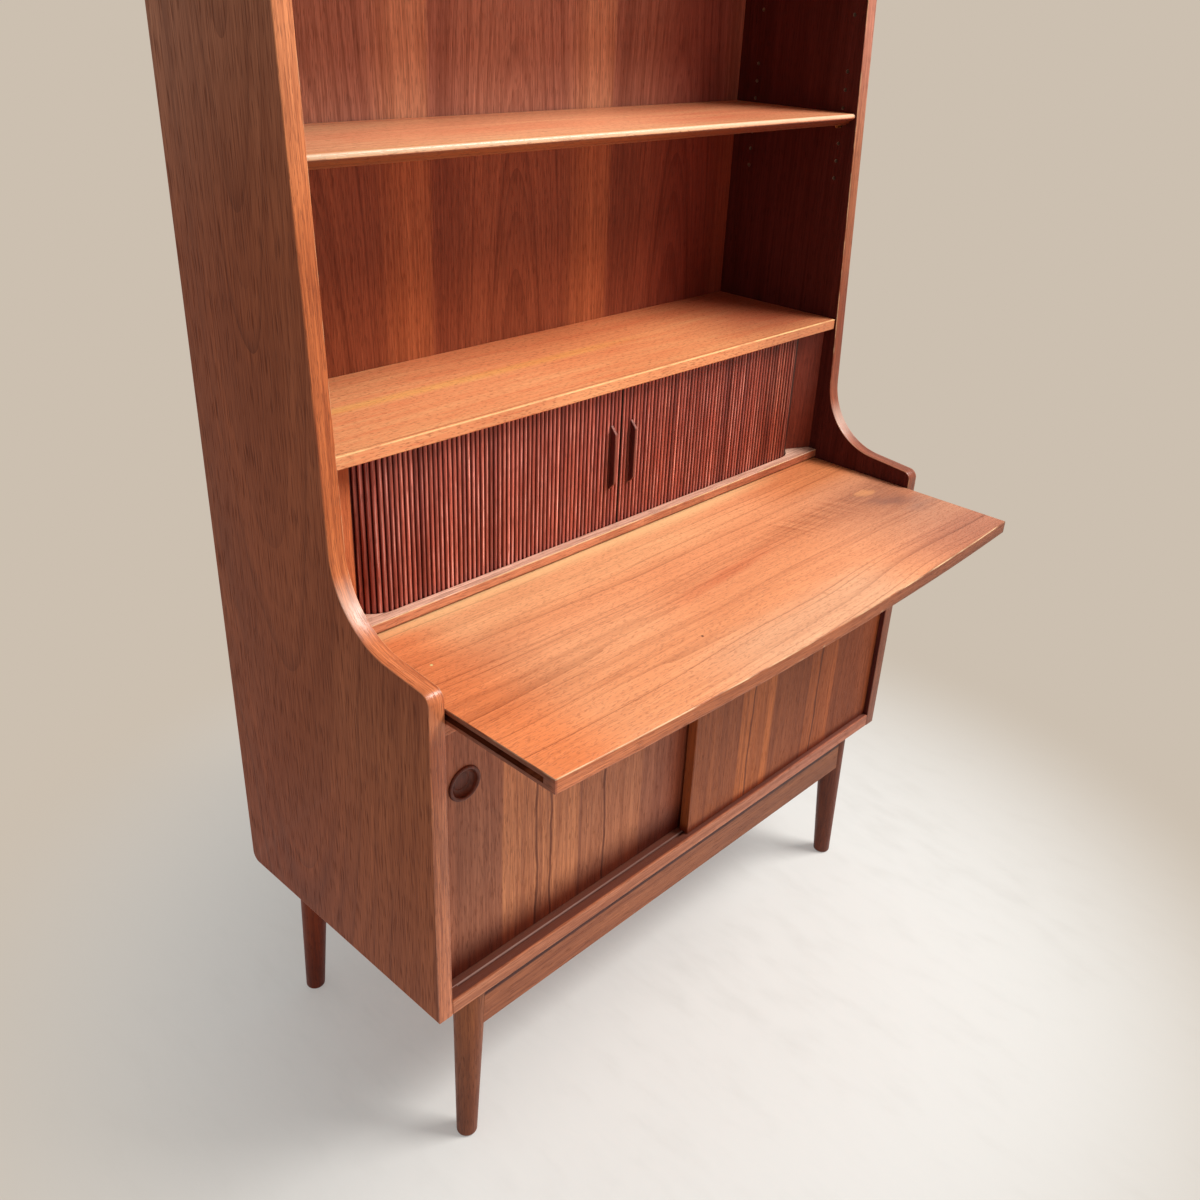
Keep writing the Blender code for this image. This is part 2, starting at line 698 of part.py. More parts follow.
def make_door(side):
    """Sliding door with a tongue in each track and a turned pull; the right door runs in front."""
    name = SIDE_NAMES[side] + "_door"
    face = DOOR_SET if side == RIGHT else REAR_DOOR_SET
    middle_y = face + DOOR_T / 2
    outer = side * (INNER_X - DOOR_SIDE_GAP)
    inner = -side * DOOR_OVERLAP / 2
    x_low, x_high = sorted((outer, inner))
    low = Z_BOTTOM + DOOR_CLEAR
    high = Z_HEAD - DOOR_CLEAR
    carrier = empty_at(name + "_slide", (0, middle_y, (low + high) / 2), FRAME)
    door = board(name, (x_low, face, low), (x_high, face + DOOR_T, high), TEAK, carrier=carrier)
    half = TRACK_W / 2 - TONGUE_PLAY
    overlap = DOOR_T
    tongues = (
        ("foot", Z_BOTTOM - TRACK_DEPTH + FIT, low + overlap),
        ("head", high - overlap, Z_HEAD + HEAD_TRACK_DEPTH / 2),
    )
    for label, tongue_low, tongue_high in tongues:
        join(door, f"{name}_{label}_tongue", box_mesh((x_low + TONGUE_INSET, middle_y - half, tongue_low),
                                                      (x_high - TONGUE_INSET, middle_y + half, tongue_high)))
    pull_x = outer - side * PULL_EDGE_SET
    pull_z = high - PULL_DROP
    seat = pin_mesh(PULL_BODY_R + FIT, (pull_x, face - DOOR_T, pull_z),
                    DOOR_T + PULL_BODY_DEPTH + FIT, (0, 1, 0), TURN_STEPS)
    cut(door, name + "_pull_seat", seat)
    bead = [(PULL_BOWL_R + PULL_R) / 2, (PULL_R - PULL_BOWL_R) / 2]
    turns = [math.pi * (1 - i / BEAD_STEPS) for i in range(BEAD_STEPS + 1)]
    pull = turned_mesh([
        (0, -PULL_BOWL_DEPTH),
        (PULL_FLOOR_R, -PULL_BOWL_DEPTH),
        (PULL_FLOOR_R, PULL_STEP - PULL_BOWL_DEPTH),
        (PULL_LEDGE_R, PULL_STEP - PULL_BOWL_DEPTH),
        *((bead[0] + bead[1] * math.cos(a), FIT + (PULL_PROUD - FIT) * math.sin(a)) for a in turns),
        (PULL_BODY_R, FIT),
        (PULL_BODY_R, -PULL_BODY_DEPTH),
        (0, -PULL_BODY_DEPTH),
    ])
    pull.transform(Matrix.Translation((pull_x, face, pull_z)) @ Matrix.Rotation(math.pi / 2, 4, "X"))
    place(name + "_pull", pull, TURNED_DARK, 0.35, carrier=carrier)


def leg_mesh(side, row, grow=0.0):
    """Mesh of one turned, tapered leg whose foot splays out; grow swells it for a cutter."""
    top = CABINET_BASE - FIT
    foot = LEG_FOOT_R + grow
    mesh = turned_mesh([
        (0, top),
        (LEG_TOP_R + grow, top),
        *arc_points((foot - LEG_FOOT_ROUND, LEG_FOOT_ROUND), LEG_FOOT_ROUND, 0, -math.pi / 2),
        (0, 0),
    ])
    foot_x = side * (WIDTH / 2 - LEG_INSET_X + LEG_SPLAY_X)
    foot_y = leg_y(row) + row * LEG_SPLAY_Y
    splay = Matrix.Identity(4)
    splay[0][2] = -side * LEG_SPLAY_X / top
    splay[1][2] = -row * LEG_SPLAY_Y / top
    mesh.transform(Matrix.Translation((foot_x, foot_y, 0)) @ splay)
    return mesh


FRONT = -1
REAR = 1
ROW_NAMES = {FRONT: "front", REAR: "rear"}


def leg_y(row):
    """Carcase y of the top of a front or rear leg."""
    return LEG_INSET_FRONT if row == FRONT else DEPTH - LEG_INSET_REAR


def make_base():
    """Four legs and the four rails let in between them."""
    leg_x = WIDTH / 2 - LEG_INSET_X
    low = CABINET_BASE - APRON_H
    high = CABINET_BASE - FIT
    for row in (FRONT, REAR):
        for side in (LEFT, RIGHT):
            place(f"{ROW_NAMES[row]}_{SIDE_NAMES[side]}_leg", leg_mesh(side, row), TEAK, 0.4)
    for row in (FRONT, REAR):
        outer = leg_y(row) + row * (LEG_TOP_R - APRON_SET)
        faces = sorted((outer, outer - row * APRON_T))
        mesh = box_mesh((-leg_x, faces[0], low), (leg_x, faces[1], high))
        rail = place(ROW_NAMES[row] + "_apron", mesh, TEAK)
        for side in (LEFT, RIGHT):
            cut(rail, f"{rail.name}_{SIDE_NAMES[side]}_seat", leg_mesh(side, row, FIT))
    for side in (LEFT, RIGHT):
        name = SIDE_NAMES[side] + "_base_rail"
        middle = side * leg_x
        rail = place(name, box_mesh((middle - APRON_T / 2, leg_y(FRONT), low),
                                    (middle + APRON_T / 2, leg_y(REAR), high)), TEAK)
        for row in (FRONT, REAR):
            cut(rail, f"{name}_{ROW_NAMES[row]}_seat", leg_mesh(side, row, FIT))


def shade_round_pieces():
    """Shade turned and pinned pieces smooth, with their real edges kept sharp."""
    for obj in PARTS.objects:
        if obj.type == "MESH" and obj.name.endswith(("_leg", "_pull")):
            obj.data.shade_smooth()
            obj.data.set_sharp_from_angle(angle=math.radians(40))


def main():
    """Build the whole bureau bookcase."""
    for side in (LEFT, RIGHT):
        make_side(side)
    make_carcase_boards()
    make_loose_shelves()
    make_tambour_case()
    for side in (LEFT, RIGHT):
        make_tambour(side)
    make_leaf()
    for side in (LEFT, RIGHT):
        make_door(side)
    make_base()
    shade_round_pieces()


main()
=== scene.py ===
"""Looks of the teak bureau bookcase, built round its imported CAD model.

Units are metres, +Z is up and the front faces -Y. Sizes of the smooth pieces repeat those of the solids
that they stand for. They are given in the carcase frame, where y is 0 on the front edge of the two sides,
and SHIFT takes that frame to the world.
"""

import logging
import math
from dataclasses import dataclass, field
from enum import Enum
from typing import Callable, Sequence

import bmesh
import bpy
import numpy as np
from mathutils import Matrix, Vector
from mathutils.geometry import tessellate_polygon


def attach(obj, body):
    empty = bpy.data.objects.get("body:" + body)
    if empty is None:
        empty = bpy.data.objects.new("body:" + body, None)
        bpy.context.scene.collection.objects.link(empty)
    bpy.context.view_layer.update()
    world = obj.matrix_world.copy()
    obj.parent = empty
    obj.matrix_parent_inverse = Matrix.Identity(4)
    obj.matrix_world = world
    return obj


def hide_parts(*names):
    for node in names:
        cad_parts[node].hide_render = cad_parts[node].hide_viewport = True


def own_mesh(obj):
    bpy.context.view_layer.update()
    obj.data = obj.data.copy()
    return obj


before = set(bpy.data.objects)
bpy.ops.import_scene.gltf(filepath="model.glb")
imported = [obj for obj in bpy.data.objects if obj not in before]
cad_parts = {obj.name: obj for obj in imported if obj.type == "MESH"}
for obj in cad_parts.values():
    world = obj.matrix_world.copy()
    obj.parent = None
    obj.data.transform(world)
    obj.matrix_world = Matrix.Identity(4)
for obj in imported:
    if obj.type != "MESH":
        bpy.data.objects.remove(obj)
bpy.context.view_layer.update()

log = logging.getLogger("bureau_bookcase")

Color = tuple[float, float, float]
Number = "float | Wire"
Span = tuple[str, float, float]
Clamp = Callable[[np.ndarray], np.ndarray]

# Sizes that pieces and finishes share, in the carcase frame

SHIFT = -0.1225
WIDTH = 1.000
DEPTH = 0.430
HEIGHT = 1.750
SIDE_T = 0.022
SHELF_T = 0.016
FLOOR_T = 0.022
INNER_X = WIDTH / 2 - SIDE_T
BACK_REBATE = 0.0154
BACK_Y = DEPTH - BACK_REBATE
UPPER_SET = 0.1742
LEAN = 0.0437
SHELF_SET = 0.0033
CABINET_BASE = 0.275
CABINET_SEAT = 0.489
CABINET_SHELF_FRONT = 0.0646
DESK_HEIGHT = 0.735
SILL_TOP = 0.7495
SHELF_UNDER = 0.956
SHELF_TOP = 0.972
LOWER_SEAT = 1.2605
UPPER_SEAT = 1.4855
LEAF_OUT = 0.170
LEAF_T = 0.019
LEAF_HALF = INNER_X - 0.001
GROOVE_HEIGHT = 0.0080
SLAT_PITCH = 0.0073
HANDLE_SET = 0.020
HANDLE_WIDE = 0.0055
FIT = 0.0003
ARRIS = 0.0012
WELD = 0.000004
LEFT, RIGHT = -1, 1
SIDE_NAMES = {LEFT: "left", RIGHT: "right"}

# Places that the finishes use, in the world frame

FRONT_Y = SHIFT
REAR_Y = DEPTH + SHIFT
SHELF_FRONT = UPPER_SET + SHELF_SET + SHIFT
LOWER_TOP = LOWER_SEAT + SHELF_T
UPPER_TOP = UPPER_SEAT + SHELF_T


# Shader tools


class Wire:
    """One socket of a material, with operators that add Math nodes."""

    def __init__(self, net: "Net", socket: bpy.types.NodeSocket) -> None:
        """Wrap a socket of a net."""
        self.net = net
        self.socket = socket

    def math(self, operation: str, *others: Number, clamp: bool = False) -> "Wire":
        """Add a Math node with this value first.

        Args:
            operation: the Math node's operation.
            others: the second and third values.
            clamp: keep the result from 0 to 1.

        Returns:
            The node's result.
        """
        return self.net.node("ShaderNodeMath", {"operation": operation, "use_clamp": clamp},
                             dict(enumerate((self, *others))))

    def __add__(self, other: Number) -> "Wire":
        """Sum."""
        return self.math("ADD", other)

    __radd__ = __add__

    def __sub__(self, other: Number) -> "Wire":
        """Difference."""
        return self.math("SUBTRACT", other)

    def __rsub__(self, other: Number) -> "Wire":
        """Difference from a number."""
        return self.net.node("ShaderNodeMath", {"operation": "SUBTRACT"}, {0: other, 1: self})

    def __mul__(self, other: Number) -> "Wire":
        """Product."""
        return self.math("MULTIPLY", other)

    __rmul__ = __mul__

    def __truediv__(self, other: Number) -> "Wire":
        """Quotient."""
        return self.math("DIVIDE", other)

    def __pow__(self, other: Number) -> "Wire":
        """Power."""
        return self.math("POWER", other)

    def __abs__(self) -> "Wire":
        """Size without sign."""
        return self.math("ABSOLUTE")

    def held(self) -> "Wire":
        """Value kept from 0 to 1."""
        return self.math("MULTIPLY", 1.0, clamp=True)

    def slant(self, other: "Wire") -> "Wire":
        """Straight distance over two distances at right angles."""
        return (self * self + other * other).math("SQRT")

    def rise(self, low: float, high: float) -> "Wire":
        """Smooth step from 0 at low to 1 at high; low may be the greater, and then it falls.

        Args:
            low: value where the step is 0.
            high: value where the step is 1.

        Returns:
            The step.
        """
        if low > high:
            return 1.0 - self.rise(high, low)
        return self.net.node("ShaderNodeMapRange", {"interpolation_type": "SMOOTHSTEP"},
                             {"Value": self, "From Min": low, "From Max": high})

    def near(self, middle: float, reach: float) -> "Wire":
        """Soft bump: 1 at the middle, 0 from a reach away."""
        return abs(self - middle).rise(reach, 0.0)


@dataclass(frozen=True)
class Grained:
    """Coordinates of a board: across its grain, along it and into it, with the plain x, y, z."""

    across: Wire
    along: Wire
    into: Wire
    x: Wire
    y: Wire
    z: Wire


class Grain(Enum):
    """Which coordinates run across, along and into a board. RUN reads the piece's own map."""

    ALONG_X = ("y", "x", "z")
    UPRIGHT = ("x", "z", "y")
    SIDE = ("y", "z", "x")
    ALONG_Y = ("x", "y", "z")
    RUN = ("", "", "")


class Net:
    """A node tree and the one way to add nodes to it."""

    def __init__(self, tree: bpy.types.NodeTree) -> None:
        """Wrap a tree."""
        self.tree = tree

    def node(self, kind: str, settings: dict | None = None, inputs: dict | None = None,
             output: int | str = 0) -> Wire:
        """Add a node.

        Args:
            kind: the node's type.
            settings: properties, set first.
            inputs: values or wires by socket name or number.
            output: which output to return.

        Returns:
            The output's wire.
        """
        made = self.tree.nodes.new(kind)
        for key, value in (settings or {}).items():
            setattr(made, key, value)
        for key, value in (inputs or {}).items():
            self.join(value, made.inputs[key])
        return Wire(self, made.outputs[output] if len(made.outputs) else None)

    def join(self, value: "Number | Color", socket: bpy.types.NodeSocket) -> None:
        """Link a wire to a socket, or set the socket's own value.

        Args:
            value: a wire, a number or a colour.
            socket: the input that takes it.
        """
        if isinstance(value, Wire):
            self.tree.links.new(value.socket, socket)
        elif isinstance(value, tuple) and socket.type == "RGBA":
            socket.default_value = (*value[:3], 1.0)
        else:
            socket.default_value = value

    def outputs(self, wire: Wire) -> list[Wire]:
        """All outputs of the node that a wire comes from."""
        return [Wire(self, socket) for socket in wire.socket.node.outputs]

    def mix(self, share: Number, first: "Color | Wire", second: "Color | Wire", blend: str = "MIX") -> Wire:
        """Blend two colours."""
        return self.node("ShaderNodeMix", {"data_type": "RGBA", "blend_type": blend, "clamp_factor": True},
                         {0: share, 6: first, 7: second}, 2)

    def tint(self, share: Number, color: Wire, red: float, green: float, blue: float) -> Wire:
        """Colour with its channels multiplied where the share is 1, so that its grain still shows."""
        return self.mix(share, color, (red, green, blue), "MULTIPLY")

    def seen(self) -> Wire:
        """1 for rays from the camera, off glossy surfaces and through glass, else 0.

        Returns:
            The mask.
        """
        path = self.node("ShaderNodeLightPath")
        rays = {wire.socket.name: wire for wire in self.outputs(path)}
        glossy = rays["Is Camera Ray"].math("MAXIMUM", rays["Is Glossy Ray"])
        return glossy.math("MAXIMUM", rays["Is Transmission Ray"])


class Paint(Net):
    """A material, with the coordinates and patterns that the finishes share."""

    def __init__(self, name: str) -> None:
        """Make a material with a Principled shader.

        Args:
            name: the material's name.
        """
        self.material = bpy.data.materials.new(name)
        self.material.use_nodes = True
        super().__init__(self.material.node_tree)
        self.shader = self.tree.nodes["Principled BSDF"]

    def grained(self, grain: Grain) -> Grained:
        """Coordinates of a board with this grain.

        Args:
            grain: the way the grain runs.

        Returns:
            Its across, along and into wires and the plain coordinates.
        """
        x, y, z = self.split(self.node("ShaderNodeTexCoord", output="Object"))
        if grain is Grain.RUN:
            across, along, into = self.split(self.node("ShaderNodeUVMap", {"uv_map": "run"}))
            return Grained(across, along, into, x, y, z)
        plain = {"x": x, "y": y, "z": z}
        return Grained(*(plain[axis] for axis in grain.value), x, y, z)

    def split(self, vector: Wire) -> list[Wire]:
        """Three values of a vector."""
        return self.outputs(self.node("ShaderNodeSeparateXYZ", inputs={0: vector}))

    def noise(self, x: Number, y: Number, z: Number = 0.0, detail: float = 1.0, rough: float = 0.5) -> Wire:
        """Signed noise, about -1 to 1, at a point whose scale is already in its values.

        Args:
            x: first coordinate.
            y: second coordinate.
            z: third coordinate.
            detail: how many finer layers are added.
            rough: strength of each layer beside the last.

        Returns:
            The noise.
        """
        place = self.node("ShaderNodeCombineXYZ", inputs={0: x, 1: y, 2: z})
        raw = self.node("ShaderNodeTexNoise", {"noise_dimensions": "3D"},
                        {"Vector": place, "Scale": 1.0, "Detail": detail, "Roughness": rough})
        return (raw - 0.5) * 3.0

    def finish(self, color: "Color | Wire", roughness: Number, height: Wire, depth: float,
               **constants: float) -> bpy.types.Material:
        """Connect the shader.

        Args:
            color: base colour.
            roughness: roughness.
            height: bump height from 0 to 1.
            depth: size of the bump in metres.
            constants: other sockets of the shader by name, with _ for a space.

        Returns:
            The finished material.
        """
        self.join(color, self.shader.inputs["Base Color"])
        self.join(roughness, self.shader.inputs["Roughness"])
        bump = self.node("ShaderNodeBump", inputs={"Height": height, "Strength": 1.0, "Distance": depth})
        self.join(bump, self.shader.inputs["Normal"])
        for key, value in constants.items():
            self.join(value, self.shader.inputs[key.replace("_", " ")])
        return self.material


# Finishes


def tinted(color: Color, red: float, green: float, blue: float) -> Color:
    """Colour with its channels multiplied, kept under full white."""
    return tuple(min(c * f, 0.97) for c, f in zip(color, (red, green, blue)))


@dataclass(frozen=True)
class ArrisWearAndHighlight:
    """A pale edge along the line where two coordinates meet given values: partly wear, partly a painted
    highlight on the arris.
    """

    first: str
    first_at: float
    second: str
    second_at: float
    reach: float = 0.0022
    share: float = 0.7

    def lay_pale_arris(self, net: Paint, at: Grained, color: Wire, pale: Color) -> Wire:
        """Colour made pale along the edge, in an uneven line: partly wear, partly a painted highlight.

        Args:
            net: the material's nodes.
            at: coordinates of the board.
            color: colour so far.
            pale: colour of the bare wood.

        Returns:
            The rubbed colour.
        """
        gap = abs(getattr(at, self.first) - self.first_at)
        gap = gap.math("MAXIMUM", abs(getattr(at, self.second) - self.second_at))
        patch = net.noise(at.x * 24.0, at.y * 24.0, at.z * 24.0, 2.0).rise(-0.8, 0.2)
        # Pale arris: partly wear, partly a painted highlight.
        return net.mix(gap.rise(self.reach, self.reach * 0.4) * patch * self.share, color, pale)


@dataclass(frozen=True)
class Wash:
    """A soft patch of another tone: a factor for each channel, and spans over which it comes in.

    A span is a coordinate's name, the value where the patch begins and the value where it is full.
    """

    factors: Color
    spans: tuple[Span, ...]

    def lay(self, net: Paint, at: Grained, color: Wire) -> Wire:
        """Colour tinted in the patch, by the product of its spans.

        Args:
            net: the material's nodes.
            at: coordinates of the board.
            color: colour so far.

        Returns:
            The tinted colour.
        """
        share = 1.0
        for axis, low, high in self.spans:
            share = getattr(at, axis).rise(low, high) * share
        return net.tint(share, color, *self.factors)


def wash(red: float, green: float, blue: float, *spans: Span) -> Wash:
    """A wash from its three factors and its spans."""
    return Wash((red, green, blue), spans)


@dataclass(frozen=True)
class Teak:
    """Teak cut from a log: growth rings round a tilted heart, long streaks, fibre and open pores.

    The heart is a place across the board and a depth below it, and the tilt is its slope along the board.
    The cut is the share of a step into the board that counts as a step across, which carries the rings
    over an edge. Rings, pore rows and pore dashes are counts in a metre; tone, streak, fibre, lines and
    pores are strengths.
    """

    name: str
    grain: Grain
    color: Color
    contrast: float = 0.42
    red_share: float = 0.85
    heart: float = 1.2
    heart_depth: float = 0.05
    tilt: float = 0.0
    cut: float = 0.0
    rings: float = 110.0
    sharp: float = 5.0
    wander: float = 0.02
    crowding: float = 0.9
    tone: float = 0.35
    streak: float = 0.45
    fibre: float = 0.50
    lines: float = 0.45
    pores: float = 0.50
    pore_rows: float = 900.0
    pore_dashes: float = 55.0
    seed: float = 0.0
    roughness: float = 0.42
    pale: Color = (0.90, 0.60, 0.33)
    washes: tuple[Wash, ...] = ()
    arris_wear_and_highlights: tuple[ArrisWearAndHighlight, ...] = ()
    sheen: float = 0.30

    @property
    def line(self) -> Color:
        """Colour of pores and late growth."""
        return tinted(self.color, 0.40, 0.30, 0.27)

    def shade(self, change: float) -> Color:
        """Mean colour made lighter or darker; green and blue change more than red."""
        return tinted(self.color, 1 + change * self.red_share, 1 + change * 1.1, 1 + change * 1.2)

    def across(self, at: Grained) -> Wire:
        """Distance across the leaf of veneer that is being looked at."""
        return at.across

    def zones(self, net: Paint, at: Grained, color: Wire) -> Wire:
        """Marks of one board only; plain teak has none."""
        return color

    def material(self) -> bpy.types.Material:
        """Build the material.

        A point's ring is its distance from the heart line, which sinks away from the surface with the
        tilt, so the rings come out as straight grain far from the heart and as pointed arches above it.

        Returns:
            A Principled material whose colour follows the rings of the log that the board was cut from.
        """
        net = Paint(self.name)
        at = net.grained(self.grain)
        across, along, into, seed = self.across(at), at.along, at.into, self.seed
        sway = net.noise(across * 4.0 + seed, along * 1.6 + seed, seed, 2.0) * self.wander
        off = across - self.heart + sway
        if self.cut:
            off = off + into * self.cut
        ring = off.slant(along * self.tilt + self.heart_depth) * self.rings
        ring = ring + net.noise(ring * 0.35, along * 0.4, seed + 1.0, 0.0) * self.crowding
        tone = net.noise(ring * 0.08, along * 0.5, seed, 2.0)
        streak = net.noise(ring * 0.7, along * 1.8, seed + 5.0, 2.0)
        fibre = net.noise(across * 520.0, along * 12.0 + seed, into * 520.0, 2.0, 0.65)
        level = tone * self.tone + streak * self.streak + fibre * self.fibre + 0.5
        color = net.mix(level.held(), self.shade(-self.contrast), self.shade(self.contrast))
        late = ring.math("FRACT") ** self.sharp
        uneven = net.noise(ring.math("FLOOR") * 0.73, along * 0.9, seed + 9.0).rise(-0.5, 0.5)
        color = net.mix(late * uneven * self.lines, color, self.line)
        row, deep = across * self.pore_rows, into * self.pore_rows
        pore = net.noise(row, along * self.pore_dashes + seed, deep, 1.0).rise(0.16, 0.50)
        color = net.mix(pore * self.pores, color, self.line)
        for patch in self.washes:
            color = patch.lay(net, at, color)
        color = self.zones(net, at, color)
        # Pale arrises: partly wear, partly painted highlights.
        for edge in self.arris_wear_and_highlights:
            color = edge.lay_pale_arris(net, at, color, self.pale)
        rough = pore * 0.12 + fibre * -0.05 + self.roughness
        return net.finish(color, rough, 1.0 - pore * 0.7 + fibre * 0.25, 0.00022,
                          Specular_IOR_Level=self.sheen)


@dataclass(frozen=True)
class BackTeak(Teak):
    """Upright veneer in slip-matched leaves, each dark at its first edge and light before its last."""

    leaf_width: float = 0.337
    seam: float = -0.147
    scratch: tuple[float, float] = (0.06, 1.443)
    rear: float = BACK_Y + SHIFT + 0.003
    ply: Color = (0.40, 0.26, 0.14)

    def across(self, at: Grained) -> Wire:
        """Distance from the first edge of the leaf: x taken round and round the width of a leaf."""
        return ((at.across - self.seam) / self.leaf_width).math("FRACT") * self.leaf_width

    def zones(self, net: Paint, at: Grained, color: Wire) -> Wire:
        """Light strip before each seam, dark ones after it, scratches, and ply behind.

        Args:
            net: the material's nodes.
            at: coordinates of the board.
            color: colour so far.

        Returns:
            The marked colour.
        """
        drift = net.noise(at.along * 2.5, self.seed + 3.0, 0.0) * 0.008
        place = self.across(at) + drift
        strip = place.rise(0.235, 0.290) * place.rise(self.leaf_width, self.leaf_width - 0.007)
        color = net.tint(strip, color, 1.28, 1.36, 1.22)
        hollow = place.rise(0.11, 0.0) + place.near(0.225, 0.05) * 0.7 + place.near(0.15, 0.10) * 0.5
        color = net.tint(hollow.held(), color, 0.80, 0.72, 0.74)
        scratch_x, scratch_z = self.scratch
        dash = net.noise(at.x * 55.0, 4.0, 0.0).rise(0.2, 0.4) * at.x.near(scratch_x, 0.05)
        color = net.mix(dash * at.z.near(scratch_z, 0.0016) * 0.6, color, self.pale)
        return net.mix(at.y.rise(self.rear, self.rear + 0.0005) * 0.85, color, self.ply)


@dataclass(frozen=True)
class DoorTeak(Teak):
    """Upright veneer with tan bands of straight grain and wavy dark veins.

    A band is its middle, half width and strength; a vein is its place.
    """

    bands: tuple[tuple[float, float, float], ...] = ()
    veins: tuple[float, ...] = ()

    def zones(self, net: Paint, at: Grained, color: Wire) -> Wire:
        """Combed bands and uneven veins, each vein with its own wave.

        Args:
            net: the material's nodes.
            at: coordinates of the board.
            color: colour so far.

        Returns:
            The marked colour.
        """
        place = at.across + net.noise(at.along * 3.0, self.seed, 1.0) * 0.004
        comb = net.noise(place * 95.0, at.along * 2.0, self.seed, 2.0).rise(-0.6, 0.5) * 0.5 + 0.5
        for middle, half, strength in self.bands:
            inside = abs(place - middle).rise(half, half - 0.005)
            color = net.tint(inside * comb * strength, color, 1.72, 1.85, 1.55)
        for number, middle in enumerate(self.veins):
            wave = net.noise(at.along * 9.0, self.seed + number * 3.1, 2.0, 2.0) * 0.006
            thick = net.noise(at.along * 22.0, self.seed + number, 5.0) * 0.0010 + 0.0026
            vein = (abs(at.across - middle + wave) / thick).rise(1.2, 0.4)
            color = net.tint(vein * 0.9, color, 0.34, 0.25, 0.25)
        return color


@dataclass(frozen=True)
class LeafTeak(Teak):
    """Writing surface: fresh strip by the sill, red streak, rippled figure, and a knot at a rear corner.

    A mark is its carcase x and y, its radius and its colour.
    """

    fresh: Color = (0.97, 0.70, 0.34)
    smoked: Color = (0.30, 0.13, 0.085)
    knot: tuple[float, float] = (0.405, 0.036)
    knot_middle: Color = (0.84, 0.37, 0.15)
    knot_rings: tuple[float, ...] = (0.030, 0.048, 0.064)
    knot_line: Color = (0.22, 0.07, 0.035)
    marks: tuple[tuple[float, float, float, Color], ...] = (
        (-0.144, -0.084, 0.0022, (0.05, 0.02, 0.015)),
        (-0.430, 0.083, 0.0024, (0.85, 0.72, 0.30)))

    def zones(self, net: Paint, at: Grained, color: Wire) -> Wire:
        """Fresh strip, red streak, ripple, knot with its dark cloud, and a few small marks.

        Args:
            net: the material's nodes.
            at: coordinates of the board.
            color: colour so far.

        Returns:
            The marked colour.
        """
        x, y = at.x, at.y - SHIFT
        fringe = net.noise(x * 5.0, y * 60.0, 2.0, 2.0) * 0.005
        color = net.mix((y + fringe).rise(0.150, 0.176) * x.rise(0.40, 0.20) * 0.45, color, self.fresh)
        ragged = net.noise(x * 18.0, y * 160.0, 3.0, 2.0)
        middle = y - x * 0.10 - 0.002 + ragged * 0.006
        streak = abs(middle).rise(0.016, 0.004) * x.near(0.02, 0.20)
        color = net.tint(streak * 0.8, color, 0.84, 0.64, 0.60)
        ripple = net.noise(x * 150.0 + y * 70.0, y * 9.0, 4.0) * 0.6 + 0.3
        zone = abs(x - 0.26).rise(0.17, 0.06) * abs(y - 0.025).rise(0.05, 0.015)
        color = net.tint((ripple * zone).held(), color, 0.70, 0.58, 0.54)
        smoke = net.noise(x * 14.0 + y * 9.0, y * 34.0, 6.0, 2.0).rise(-0.7, 0.7)
        cloud = abs(x - 0.425 + (y + 0.02) * 0.5).rise(0.06, 0.015) * abs(y + 0.012).rise(0.07, 0.02)
        color = net.mix(cloud * smoke * 0.6, color, self.smoked)
        dull = x.rise(0.16, 0.44) * y.rise(0.15, 0.03)
        color = net.tint(dull, color, 0.66, 0.68, 0.82)
        aside, ahead = x - self.knot[0], y - self.knot[1]
        feather = net.noise(x * 34.0 - y * 20.0, y * 75.0, 8.0, 3.0) * 0.016
        radius = (aside * aside * 1.6 + ahead * ahead * 6.0).math("SQRT") + feather
        color = net.mix(radius.rise(0.040, 0.010) * 0.50, color, self.knot_middle)
        for ring in self.knot_rings:
            color = net.mix(radius.near(ring, 0.0045) * 0.35 * smoke, color, self.knot_line)
        for mark_x, mark_y, size, mark in self.marks:
            far = (x - mark_x).slant(y - mark_y)
            color = net.mix(far.rise(size, size * 0.5), color, mark)
        return color


@dataclass(frozen=True)
class ShelfTeak(Teak):
    """Loose shelf: a pale nose, partly rubbed and partly a painted highlight, and a dark line of dust where
    the lipping meets the veneer.
    """

    # Colour of the pale nose: partly rubbed wood, partly a painted highlight.
    nose: Color = (0.84, 0.56, 0.36)

    def zones(self, net: Paint, at: Grained, color: Wire) -> Wire:
        """Nose and dust line by their distance from the leaning front, and painted shade on the bevel below.

        Args:
            net: the material's nodes.
            at: coordinates of the board.
            color: colour so far.

        Returns:
            The marked colour.
        """
        lead = at.y - SHELF_FRONT - (at.z - SHELF_TOP) * LEAN
        patch = net.noise(at.x * 30.0, at.z * 200.0, 1.0, 2.0) * 0.15 + 0.80
        color = net.mix(lead.near(0.0105, 0.0016) * 0.6, color, self.line)
        color = net.tint(lead.near(0.0075, 0.0035), color, 1.05, 0.95, 0.70)
        below = abs(at.z - LOWER_TOP).math("MINIMUM", abs(at.z - UPPER_TOP))
        # Pale nose: partly rubbed, partly a painted highlight.
        crown = lead.rise(0.0040, 0.0012) * below.rise(0.0052, 0.0036)
        color = net.mix(crown * patch, color, self.nose)
        # Painted shade on the bevel below the nose.
        return net.tint(below.rise(0.0050, 0.0062) * lead.rise(0.016, 0.014), color, 0.31, 0.14, 0.08)


@dataclass(frozen=True)
class FixedShelfTeak(Teak):
    """Shelf over the tambour, with a dark glue line behind its lipping."""

    lipping: float = 0.0052

    def zones(self, net: Paint, at: Grained, color: Wire) -> Wire:
        """Line by its distance from the front."""
        line = at.y.near(SHELF_FRONT + self.lipping, 0.0014) * at.z.rise(SHELF_TOP - 0.002, SHELF_TOP - 0.001)
        return net.mix(line * 0.8, color, self.line)


